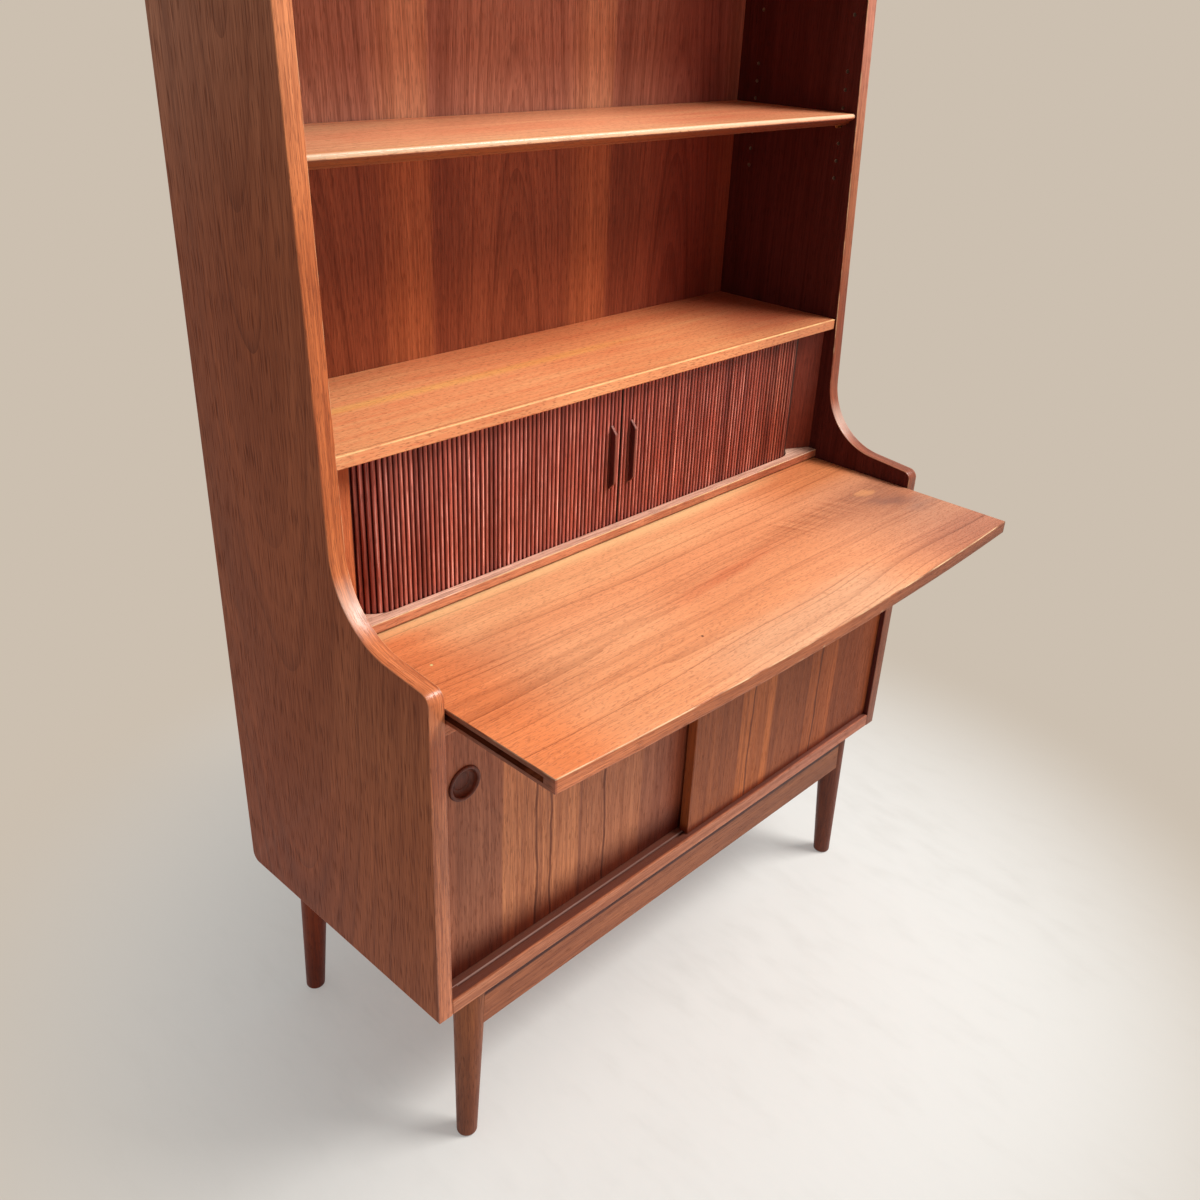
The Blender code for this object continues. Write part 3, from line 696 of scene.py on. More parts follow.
@dataclass(frozen=True)
class HandleTeak(Teak):
    """Tambour handles, with painted shade on their sides."""

    def zones(self, net: Paint, at: Grained, color: Wire) -> Wire:
        """Painted shade on the sides, by their distance from the middle of each handle.

        Args:
            net: the material's nodes.
            at: coordinates of the board.
            color: colour so far.

        Returns:
            The marked colour.
        """
        aside = abs(abs(at.x) - HANDLE_SET)
        # Painted shade on the sides of the handles.
        side = aside.rise(HANDLE_WIDE / 2 - 0.0010, HANDLE_WIDE / 2 - 0.0002)
        return net.tint(side, color, 0.34, 0.20, 0.26)


@dataclass(frozen=True)
class LeafEdgeTeak(Teak):
    """Edge of the writing leaf: pale top arris, partly wear and partly a painted highlight, chips below, side
    edges darkened by end grain and painted shade, and painted shade in the grooves.
    """

    def zones(self, net: Paint, at: Grained, color: Wire) -> Wire:
        """Arris by height, chips on the lower arris near the middle, and the side edges by x.

        Args:
            net: the material's nodes.
            at: coordinates of the board.
            color: colour so far.

        Returns:
            The marked colour.
        """
        low, middle, aside = DESK_HEIGHT - LEAF_T, DESK_HEIGHT - LEAF_T / 2, abs(at.x)
        patch = net.noise(at.x * 14.0, at.y * 14.0, 3.0, 3.0).rise(-0.5, 0.4)
        # Pale top arris: partly wear, partly a painted highlight.
        arris = at.z.rise(DESK_HEIGHT - 0.0016, DESK_HEIGHT - 0.0006)
        color = net.mix(arris * patch * 0.75, color, self.pale)
        chip = net.noise(at.x * 60.0, at.z * 60.0, 6.0).rise(0.35, 0.5) * at.x.near(0.03, 0.14)
        color = net.mix(chip * at.z.rise(low + 0.0045, low + 0.0025) * 0.8, color, self.pale)
        # Side edges darker: partly end grain, partly painted shade.
        color = net.tint(aside.rise(LEAF_HALF - 0.004, LEAF_HALF - 0.001), color, 0.59, 0.52, 0.57)
        # Painted shade in the grooves.
        groove = abs(at.z - middle).rise(GROOVE_HEIGHT / 2 + 0.0002, GROOVE_HEIGHT / 2 - 0.0001)
        groove = groove * at.y.rise(FRONT_Y - 0.13, FRONT_Y - 0.12)
        groove = groove * aside.rise(LEAF_HALF - 0.012, LEAF_HALF - 0.011)
        return net.tint(groove, color, 0.36, 0.18, 0.14)


@dataclass(frozen=True)
class LippingTeak(Teak):
    """Lipping of a side, rubbed along its inner arris, with a painted highlight on the sweep."""

    sweep_height: float = 0.808
    # Colour of the painted highlight on the sweep.
    bright: Color = (0.92, 0.72, 0.60)

    def zones(self, net: Paint, at: Grained, color: Wire) -> Wire:
        """Rubbed line by its distance from the inner face, and the painted highlight on the sweep by height.

        Args:
            net: the material's nodes.
            at: coordinates of the board.
            color: colour so far.

        Returns:
            The marked colour.
        """
        inner = (INNER_X + 0.0014 - abs(at.x)).rise(0.0, 0.0010)
        patch = net.noise(at.z * 40.0, at.x * 300.0, 1.0, 2.0).rise(-0.3, 0.4)
        color = net.mix(inner * patch * 0.6 * at.z.rise(0.70, 0.76), color, self.pale)
        # Painted highlight on the sweep.
        return net.mix(at.z.near(self.sweep_height, 0.036) * 0.36, color, self.bright)


@dataclass(frozen=True)
class FloorTeak(Teak):
    """Cabinet floor: front lip as it was, the rest darkened by use and by painted shade, and a painted
    highlight on the rear wall of the track.
    """

    track: float = 0.0194
    # Colour of the painted highlight on the track wall.
    rubbed: Color = (0.72, 0.45, 0.38)

    def zones(self, net: Paint, at: Grained, color: Wire) -> Wire:
        """Dark top behind the front arris, from use and painted shade, and the wall of the front track with a
        painted highlight, pale at its left end.

        Args:
            net: the material's nodes.
            at: coordinates of the board.
            color: colour so far.

        Returns:
            The marked colour.
        """
        top = CABINET_BASE + FLOOR_T
        # Top behind the front arris: darkened by use and by painted shade.
        inner = at.z.rise(top - 0.0080, top - 0.0070) * at.y.rise(FRONT_Y + 0.002, FRONT_Y + 0.004)
        color = net.mix(inner * 0.92, color, tinted(self.color, 0.24, 0.20, 0.28))
        # Painted highlight on the wall of the front track.
        wall = at.y.near(FRONT_Y + self.track, 0.0011) * at.z.rise(top - 0.0045, top - 0.0015)
        return net.mix(wall * (at.x.rise(0.1, -0.40) * 0.50 + 0.35), color, self.rubbed)


@dataclass(frozen=True)
class SlatTeak(Teak):
    """Round reeds of the tambour, each cut from its own strip, with painted shade between and a painted
    highlight on the crown.
    """

    bend: float = 0.403
    # Colour of the painted shade in the valleys.
    valley: Color = (0.070, 0.004, 0.002)
    shadow: Color = (0.018, 0.004, 0.003)

    def zones(self, net: Paint, at: Grained, color: Wire) -> Wire:
        """Own tone for each slat, painted highlights on the crowns, painted shade in the valleys, and painted
        shade where the doors meet and bend.

        Args:
            net: the material's nodes.
            at: coordinates of the board.
            color: colour so far.

        Returns:
            The marked colour.
        """
        slat = at.across / SLAT_PITCH
        own = net.noise(slat.math("FLOOR") * 7.31, 2.0, self.seed, 0.0)
        color = net.tint(own.rise(0.0, 0.7), color, 1.35, 1.45, 1.40)
        color = net.tint(own.rise(0.0, -0.7), color, 0.60, 0.48, 0.50)
        aside = abs(slat.math("FRACT") - 0.5)
        # Painted highlight along each crown, in patches.
        highlight_patches = net.noise(slat * 3.0, at.along * 16.0, self.seed, 2.0).rise(-0.4, 0.6)
        color = net.tint(aside.rise(0.16, 0.02) * highlight_patches, color, 2.10, 4.60, 5.60)
        # Painted shade in the valleys between the reeds.
        color = net.mix(aside.rise(0.20, 0.42) * 0.92, color, self.valley)
        shade = abs(at.x).rise(0.0026, 0.0014) + at.x.rise(self.bend, self.bend + 0.006) * 0.9
        return net.mix(shade, color, self.shadow)


@dataclass(frozen=True)
class Turned:
    """Dark stained turned wood with fine grain and rubbed patches."""

    name: str
    color: Color
    rubbed: Color

    def material(self) -> bpy.types.Material:
        """Build the material, with a mottled stain over fine upright grain.

        Returns:
            A Principled material.
        """
        net = Paint(self.name)
        at = net.grained(Grain.ALONG_Y)
        mottle = net.noise(at.x * 90.0, at.y * 240.0, at.z * 90.0, 3.0)
        grain = net.noise(at.x * 500.0, at.y * 500.0, at.z * 40.0, 2.0)
        color = net.mix((mottle * 0.35 + grain * 0.3 + 0.4).held(), self.color, self.rubbed)
        return net.finish(color, grain * 0.06 + 0.40, grain * 0.5 + 0.5, 0.00012, Specular_IOR_Level=0.3)


@dataclass(frozen=True)
class Ply:
    """Plain plywood and hidden strips: pale flat figure with thin darker lines."""

    name: str
    dark: Color = (0.30, 0.19, 0.10)
    light: Color = (0.56, 0.39, 0.22)

    def material(self) -> bpy.types.Material:
        """Build the material from stretched noise and contour lines of it.

        Returns:
            A Principled material.
        """
        net = Paint(self.name)
        at = net.grained(Grain.UPRIGHT)
        figure = net.noise(at.x * 5.0, at.z * 1.0, at.y * 5.0, 3.0)
        lines = ((figure + at.x * 3.0) * 9.0).math("FRACT") ** 4.0
        fibre = net.noise(at.x * 400.0, at.z * 16.0, at.y * 400.0, 2.0)
        level = (figure * 0.3 + fibre * 0.25 + 0.55).held()
        color = net.mix(lines * 0.3, net.mix(level, self.dark, self.light), self.dark)
        return net.finish(color, fibre * 0.05 + 0.62, fibre * 0.5 + 0.5, 0.0001)


@dataclass(frozen=True)
class Brass:
    """Small drawn brass pins, dulled and faintly scratched round."""

    name: str
    dull: Color = (0.42, 0.28, 0.10)
    bright: Color = (0.80, 0.60, 0.28)

    def material(self) -> bpy.types.Material:
        """Build the material from fine noise.

        Returns:
            A Principled material.
        """
        net = Paint(self.name)
        at = net.grained(Grain.ALONG_X)
        wear = net.noise(at.x * 400.0, at.y * 900.0, at.z * 900.0, 3.0)
        color = net.mix((wear * 0.5 + 0.5).held(), self.dull, self.bright)
        return net.finish(color, wear * 0.1 + 0.35, wear * 0.5 + 0.5, 0.00003, Metallic=1.0)


@dataclass(frozen=True)
class PaleFloor:
    """Plain pale floor with a faint trowelled mottle, which runs out into the backdrop far away."""

    name: str
    color: Color = (0.80, 0.79, 0.76)
    stain: Color = (0.68, 0.665, 0.63)
    backdrop: Color = (0.605, 0.525, 0.435)

    def material(self) -> bpy.types.Material:
        """Build the material from two sizes of noise, and give way to the backdrop with distance.

        Returns:
            A Principled material mixed with a plain glow of the backdrop's colour.
        """
        net = Paint(self.name)
        at = net.grained(Grain.ALONG_X)
        cloud = net.noise(at.x * 2.3, at.y * 2.3, 0.0, 4.0)
        trowel = net.noise(at.x * 30.0, at.y * 11.0, 1.0, 3.0)
        mottle = (cloud * 0.4 + trowel * 0.5).rise(-0.1, 1.0)
        net.finish(net.mix(mottle, self.color, self.stain), 0.75, trowel * 0.5 + 0.5, 0.0006)
        away = at.x.slant(at.y)
        wall = net.mix(away.rise(0.40, 1.22), self.color, self.backdrop)
        glow = net.node("ShaderNodeEmission", inputs={"Color": wall, "Strength": 1.0})
        lit = Wire(net, net.shader.outputs[0])
        # Near the object 0.3 of the glow still shows: painted light that lightens the shadows on the floor;
        # farther out it gives way to the backdrop.
        share = away.rise(0.40, 1.25) * 0.7 + 0.3
        both = net.node("ShaderNodeMixShader", inputs={0: share * net.seen(), 1: lit, 2: glow})
        net.join(both, net.tree.nodes["Material Output"].inputs["Surface"])
        return net.material


Finish = Teak | Turned | Ply | Brass | PaleFloor


# Surface tools


def circle(turn: np.ndarray) -> np.ndarray:
    """Points (n, 2) of the unit circle: the cosine and the sine of each angle."""
    return np.stack([np.cos(turn), np.sin(turn)], axis=1)


def rounded_outline(corners: Sequence[tuple[float, float, float]], step: float = 6.0) -> np.ndarray:
    """Outline through corners, each corner with a radius turned into a tangent arc.

    The arc's centre lies on the line that halves the corner, at the radius over the sine of half its angle.

    Args:
        corners: (u, v, radius) in order round the outline.
        step: largest turn between two points of an arc, in degrees.

    Returns:
        Points (n, 2), not repeating the first.
    """
    points = []
    for i, (u, v, radius) in enumerate(corners):
        here = np.array((u, v))
        if radius <= 0:
            points.append(here[None])
            continue
        back = np.array(corners[i - 1][:2]) - here
        ahead = np.array(corners[(i + 1) % len(corners)][:2]) - here
        back, ahead = back / np.linalg.norm(back), ahead / np.linalg.norm(ahead)
        half = math.acos(float(np.clip(back @ ahead, -1, 1))) / 2
        middle = (back + ahead) / np.linalg.norm(back + ahead)
        centre = here + middle * radius / math.sin(half)
        first, last = (here + way * radius / math.tan(half) - centre for way in (back, ahead))
        start = math.atan2(first[1], first[0])
        sweep = math.remainder(math.atan2(last[1], last[0]) - start, 2 * math.pi)
        parts = max(2, math.ceil(abs(sweep) / math.radians(step)))
        points.append(centre + radius * circle(start + sweep * np.linspace(0, 1, parts + 1)))
    return np.concatenate(points)


def inward(outline: np.ndarray) -> np.ndarray:
    """Inward mitre of each point of a closed outline.

    The mitre halves the two edge normals and is as long as 1 over the cosine of half the turn, so that
    moving by a distance times the mitre sets every edge in by that distance.

    Args:
        outline: points (n, 2).

    Returns:
        Vectors (n, 2).
    """
    edges = np.roll(outline, -1, axis=0) - outline
    length = np.linalg.norm(edges, axis=1, keepdims=True)
    edges = edges / np.maximum(length, 1e-12)
    # An edge of no length takes the direction of the one before it.
    for _ in range(2):
        edges = np.where(length > 1e-9, edges, np.roll(edges, 1, axis=0))
    u, v = outline[:, 0], outline[:, 1]
    area = np.sum(u * np.roll(v, -1) - v * np.roll(u, -1))
    normal = np.sign(area) * np.stack([-edges[:, 1], edges[:, 0]], axis=1)
    both = normal + np.roll(normal, 1, axis=0)
    return 2 * both / np.sum(both * both, axis=1, keepdims=True)


def arris_steps(radius: float, steps: int = 3) -> tuple[np.ndarray, np.ndarray]:
    """Quarter round of an edge: how far each step is set in, and how far it lies below the face."""
    turn = np.linspace(0, math.pi / 2, steps + 1)
    return radius * (1 - np.sin(turn)), radius * (1 - np.cos(turn))


def turned_grid(profile: np.ndarray, segments: int = 48) -> np.ndarray:
    """Surface of revolution about Z: each (radius, height) point goes once round in equal turns.

    Args:
        profile: points (n, 2).
        segments: turns round.

    Returns:
        Grid (n, segments + 1, 3) whose last column repeats the first.
    """
    flat = profile[:, None, 0:1] * circle(np.linspace(0, 2 * math.pi, segments + 1))[None]
    height = np.broadcast_to(profile[:, None, 1:2], flat.shape[:2] + (1,))
    return np.concatenate([flat, height], axis=2)


class Shell:
    """Gathers patches of surface and makes one closed mesh of them."""

    def __init__(self) -> None:
        """Start with no patches."""
        self.points: list[np.ndarray] = []
        self.faces: list[np.ndarray] = []
        self.finishes: list[np.ndarray] = []
        self.smooths: list[np.ndarray] = []
        self.maps: list[np.ndarray] = []
        self.count = 0

    def _add(self, points: np.ndarray, faces: np.ndarray, finish: int, smooth: bool, run: np.ndarray) -> None:
        """Keep one patch.

        Args:
            points: (n, 3).
            faces: point numbers (m, 3) or (m, 4).
            finish: material slot.
            smooth: shade smooth.
            run: (n, 2), the distances across and along the grain.
        """
        self.points.append(points)
        self.faces.append(faces + self.count)
        self.finishes.append(np.full(len(faces), finish))
        self.smooths.append(np.full(len(faces), smooth))
        self.maps.append(run[faces].reshape(-1, 2))
        self.count += len(points)

    def grid(self, points: np.ndarray, run: np.ndarray | None = None, finish: int = 0,
             smooth: bool = True) -> None:
        """Add a grid of quads.

        Args:
            points: (rows, columns, 3).
            run: (rows, columns, 2), the distances across and along the grain.
            finish: material slot.
            smooth: shade smooth.
        """
        rows, columns = points.shape[:2]
        at = np.arange(rows * columns).reshape(rows, columns)
        quads = np.stack([at[:-1, :-1], at[:-1, 1:], at[1:, 1:], at[1:, :-1]], axis=-1).reshape(-1, 4)
        run = points[..., :2] if run is None else run
        self._add(points.reshape(-1, 3), quads, finish, smooth, run.reshape(-1, 2))

    def cap(self, loops: Sequence[np.ndarray], finish: int = 0) -> None:
        """Fill a flat outline with triangles.

        Args:
            loops: points (n, 3) of the outline and of any holes in it.
            finish: material slot.
        """
        points = np.concatenate(loops)
        triangles = np.array(tessellate_polygon([[Vector(p) for p in loop] for loop in loops]))
        self._add(points, triangles, finish, False, points[:, :2])

    def build(self, name: str, finishes: Sequence[Finish], sharp: float = 38.0) -> bpy.types.Object:
        """Make the object, with doubles merged and faces pointing outwards.

        Args:
            name: piece name.
            finishes: one for each material slot used.
            sharp: angle in degrees past which an edge between smooth faces is kept sharp.

        Returns:
            The object, at the origin.
        """
        mesh = bpy.data.meshes.new(name)
        faces = [row for block in self.faces for row in block.tolist()]
        mesh.from_pydata(np.concatenate(self.points).tolist(), [], faces)
        mesh.polygons.foreach_set("material_index", np.concatenate(self.finishes).astype(np.int32))
        mesh.polygons.foreach_set("use_smooth", np.concatenate(self.smooths))
        layer = mesh.uv_layers.new(name="run")
        layer.data.foreach_set("uv", np.concatenate(self.maps).astype(np.float32).ravel())
        work = bmesh.new()
        work.from_mesh(mesh)
        bmesh.ops.remove_doubles(work, verts=work.verts, dist=WELD)
        bmesh.ops.dissolve_degenerate(work, edges=work.edges, dist=WELD)
        bmesh.ops.recalc_face_normals(work, faces=work.faces)
        work.to_mesh(mesh)
        work.free()
        mesh.set_sharp_from_angle(angle=math.radians(sharp))
        for finish in finishes:
            mesh.materials.append(finish.material())
        obj = bpy.data.objects.new(name, mesh)
        bpy.context.scene.collection.objects.link(obj)
        return obj

    def piece(self, name: str, finishes: Sequence[Finish], body: str, node: str, slot: str,
              sharp: float = 38.0) -> bpy.types.Object:
        """Make the object and settle it in the frame.

        Args:
            name: piece name.
            finishes: one for each material slot used.
            body: the body that the piece rides on.
            node: the solid that it stands for.
            slot: name of a material slot; not used.
            sharp: angle in degrees past which an edge between smooth faces is kept sharp.

        Returns:
            The piece, at the origin.
        """
        obj = self.build(name, finishes, sharp)
        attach(obj, body)
        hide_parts(node)
        return obj


class Plane(Enum):
    """Where the two coordinates of an outline and its thickness lie in space, as places in (x, y, z)."""

    FLAT = (0, 1, 2)
    UPRIGHT = (1, 2, 0)


@dataclass
class Slab:
    """A board: an outline carried through a thickness, with rounded edges and steps cut along its rim.

    Each row of the rim is the outline set in by a distance at a level of the thickness. A step may also
    clamp the outline, which gives rebates and grooves. The low face may lie above the high one.
    """

    outline: np.ndarray
    low: float
    high: float
    plane: Plane
    arris: float = ARRIS
    steps: Sequence[tuple[float, Clamp | None]] = ()
    low_clamp: Clamp | None = None

    def lift(self, flat: np.ndarray, level: float) -> np.ndarray:
        """Points of the outline's plane at a level, in space and in the world frame.

        Args:
            flat: points (..., 2).
            level: place in the thickness.

        Returns:
            Points (..., 3).
        """
        space = np.empty(flat.shape[:-1] + (3,))
        u, v, w = self.plane.value
        space[..., u], space[..., v], space[..., w] = flat[..., 0], flat[..., 1], level
        space[..., 1] += SHIFT
        return space

    def rows(self) -> list[tuple[float, float, Clamp | None]]:
        """Set-in, level and clamp of each row of the rim, from the low face to the high one.

        Returns:
            The rows.
        """
        inset, below = arris_steps(self.arris)
        below = below * math.copysign(1.0, self.high - self.low)
        rows = [(a, self.low + b, self.low_clamp) for a, b in zip(inset, below)]
        rows += [(0.0, level, clamp) for level, clamp in self.steps]
        return rows + [(a, self.high - b, None) for a, b in zip(inset[::-1], below[::-1])]

    def face(self, high: bool) -> np.ndarray:
        """Outline (n, 2) of the flat part of one face."""
        flat = self.outline + inward(self.outline) * self.arris
        return flat if high or self.low_clamp is None else self.low_clamp(flat)

    def fill(self, shell: Shell, rim: int = 0, low: int = 0, high: int = 0,
             holes: Sequence[np.ndarray] = ()) -> None:
        """Add the rim and both faces to a shell.

        Args:
            shell: where the patches go.
            rim: material slot of the rim.
            low: material slot of the low face.
            high: material slot of the high face.
            holes: outlines (n, 2) left out of the low face.
        """
        mitre = inward(self.outline)
        closed = np.concatenate([self.outline, self.outline[:1]])
        length = np.concatenate([[0.0], np.cumsum(np.linalg.norm(np.diff(closed, axis=0), axis=1))])
        grid, run = [], []
        for inset, level, clamp in self.rows():
            flat = self.outline + mitre * inset
            flat = clamp(flat) if clamp else flat
            grid.append(self.lift(np.concatenate([flat, flat[:1]]), level))
            run.append(np.stack([np.full(len(length), level), length], axis=1))
        shell.grid(np.array(grid), np.array(run), rim)
        shell.cap([self.lift(loop, self.low) for loop in (self.face(False), *holes)], low)
        shell.cap([self.lift(self.face(True), self.high)], high)


# Pieces


@dataclass
class Sides:
    """The two sides: nose at desk level, concave sweep, leaning bookcase front, rebate and pin holes."""

    shoulder_rise: float = 0.0245
    shoulder_slope: float = 0.093
    nose: float = 0.014
    sweep: float = 0.105
    top_corner: float = 0.014
    heel: float = 0.014
    rebate: float = 0.011
    pin_radius: float = 0.0025
    pin_seat: float = 0.008
    pin_pitch: float = 0.025
    pin_rows: int = 3
    pin_front: float = 0.040
    pin_rear: float = 0.036
    hole_points: int = 17

    def front(self, z: float) -> float:
        """Carcase y of the leaning front at a height."""
        return UPPER_SET + LEAN * (z - SHELF_TOP)

    def outline(self) -> np.ndarray:
        """Outline in (y, z), from the front of the base round by the back and the top to the nose.

        Returns:
            Points (n, 2).
        """
        shoulder = DESK_HEIGHT + self.shoulder_rise
        sweep_y = self.front(shoulder) / (1 - LEAN * self.shoulder_slope)
        return rounded_outline([
            (0, CABINET_BASE, 0),
            (DEPTH, CABINET_BASE, self.heel),
            (DEPTH, HEIGHT, 0),
            (self.front(HEIGHT), HEIGHT, self.top_corner),
            (sweep_y, shoulder + self.shoulder_slope * sweep_y, self.sweep),
            (0, shoulder, self.nose),
        ], step=3.0)

    def hole_middles(self) -> np.ndarray:
        """Middles in (y, z) of the pin holes: rows around each shelf, in two columns.

        Returns:
            Points (n, 2).
        """
        rows = np.arange(-self.pin_rows, self.pin_rows + 1) * self.pin_pitch
        drop = FIT + self.pin_radius
        book = np.unique(np.concatenate([LOWER_SEAT + rows, UPPER_SEAT + rows]).round(6)) - drop
        cabinet = CABINET_SEAT + rows - drop
        rear = BACK_Y - self.pin_rear
        columns = [(UPPER_SET + self.pin_front, book), (rear, book),
                   (CABINET_SHELF_FRONT + self.pin_front, cabinet), (rear, cabinet)]
        return np.concatenate([np.stack([np.full(len(z), y), z], axis=1) for y, z in columns])

    def build(self, side: int, edge: Teak, outer: Teak, inner: Teak, bored: Ply) -> bpy.types.Object:
        """Make one side, whose low face is the inner one.

        Args:
            side: LEFT or RIGHT.
            edge: finish of the lipping.
            outer: finish of the outer face.
            inner: finish of the inner face.
            bored: finish inside the pin holes.

        Returns:
            The piece, riding on the carcase in place of its solid.
        """
        def stop(flat: np.ndarray) -> np.ndarray:
            """Clamp the outline to the front of the rebate."""
            return np.stack([np.minimum(flat[:, 0], BACK_Y), flat[:, 1]], axis=1)

        ledge = side * (INNER_X + self.rebate)
        slab = Slab(self.outline(), side * INNER_X, side * WIDTH / 2, Plane.UPRIGHT,
                    steps=((ledge, stop), (ledge, None)), low_clamp=stop)
        ring = (self.pin_radius + FIT) * circle(np.linspace(0, 2 * math.pi, self.hole_points))
        middles = self.hole_middles()
        shell = Shell()
        slab.fill(shell, 0, 2, 1, [middle + ring[:-1] for middle in middles])
        for middle in middles:
            mouth = slab.lift(middle + ring, side * INNER_X)
            floor = slab.lift(middle + ring, side * (INNER_X + self.pin_seat + FIT))
            shell.grid(np.array([mouth, floor]), None, 3)
            shell.cap([floor[:-1]], 3)
        name = SIDE_NAMES[side] + "_side"
        return shell.piece(name + "_board", (edge, outer, inner, bored), "carcase", name, "teak_side")


@dataclass
class WritingLeaf:
    """Bow-fronted writing leaf with a stopped groove in each side edge."""

    bow: float = 0.015
    bow_points: int = 49
    depth: float = 0.400
    groove_depth: float = 0.0095
    groove_stop: float = 0.017
    stop_split: float = 1e-7

    def build(self, top: Teak, edge: Teak) -> bpy.types.Object:
        """Make the leaf.

        The front is an arc through both corners and the middle of the bow, so its radius is the half width
        squared plus the bow squared, over twice the bow.

        Args:
            top: finish of the veneered faces.
            edge: finish of the lipped edges.

        Returns:
            The piece, riding on the leaf.
        """
        half, rear, stop = LEAF_HALF, self.depth - LEAF_OUT, self.groove_stop - LEAF_OUT
        radius = (half * half + self.bow * self.bow) / (2 * self.bow)
        reach = math.asin(half / radius)
        turn = np.linspace(-reach, reach, self.bow_points)
        front_y = radius - self.bow - LEAF_OUT - radius * np.cos(turn)
        outline = np.concatenate([np.stack([radius * np.sin(turn), front_y], axis=1), [
            (half, stop), (half, stop + self.stop_split), (half, rear),
            (-half, rear), (-half, stop + self.stop_split), (-half, stop)]])
        inner = half - self.groove_depth

        def groove(flat: np.ndarray) -> np.ndarray:
            """Clamp the outline to the floor of the grooves, behind their stops.

            Args:
                flat: points (n, 2).

            Returns:
                Points (n, 2).
            """
            x, y = flat[:, 0], flat[:, 1]
            behind = y > stop + self.stop_split / 2
            return np.stack([np.where(behind, np.clip(x, -inner, inner), x), y], axis=1)

        middle = DESK_HEIGHT - LEAF_T / 2
        cut_low, cut_high = middle - GROOVE_HEIGHT / 2, middle + GROOVE_HEIGHT / 2
        cuts = ((cut_low, None), (cut_low, groove), (cut_high, groove), (cut_high, None))
        shell = Shell()
        Slab(outline, DESK_HEIGHT - LEAF_T, DESK_HEIGHT, Plane.FLAT, steps=cuts).fill(shell, 0, 1, 1)
        return shell.piece("writing_leaf_board", (edge, top), "leaf", "writing_leaf", "teak_leaf")


@dataclass
class LooseShelves:
    """Loose shelves with a round nose over a long bevel.

    A seat is the height of the pins and the front edge; without one the shelf follows the leaning front.
    """

    nose: float = 0.0065
    bevel: float = 0.014
    bevel_round: float = 0.0006
    end_gap: float = 0.0007
    end_arris: float = 0.0005
    back_gap: float = 0.002
    seats: dict[str, tuple[float, float | None]] = field(default_factory=lambda: {
        "cabinet_shelf": (CABINET_SEAT, CABINET_SHELF_FRONT),
        "lower_shelf": (LOWER_SEAT, None),
        "upper_shelf": (UPPER_SEAT, None)})

    def build(self, name: str, sides: Sides, finish: Teak) -> bpy.types.Object:
        """Make one shelf as a profile carried along X.

        Args:
            name: the solid's name.
            sides: the sides, whose leaning front the shelf follows.
            finish: finish of the shelf.

        Returns:
            The piece, riding on the carcase.
        """
        low, front = self.seats[name]
        high = low + SHELF_T
        if front is None:
            front = sides.front(high) + SHELF_SET
        rear = BACK_Y - self.back_gap
        nose_round = self.nose / 2 - WELD
        outline = rounded_outline([
            (front, high - self.nose, nose_round),
            (front + self.bevel, low, self.bevel_round),
            (rear, low, 0),
            (rear, high, 0),
            (front, high, nose_round),
        ], step=9.0)
        shell = Shell()
        half = INNER_X - self.end_gap
        Slab(outline, -half, half, Plane.UPRIGHT, self.end_arris).fill(shell)
        return shell.piece(name + "_board", (finish,), "carcase", name, "teak_shelf", sharp=30.0)


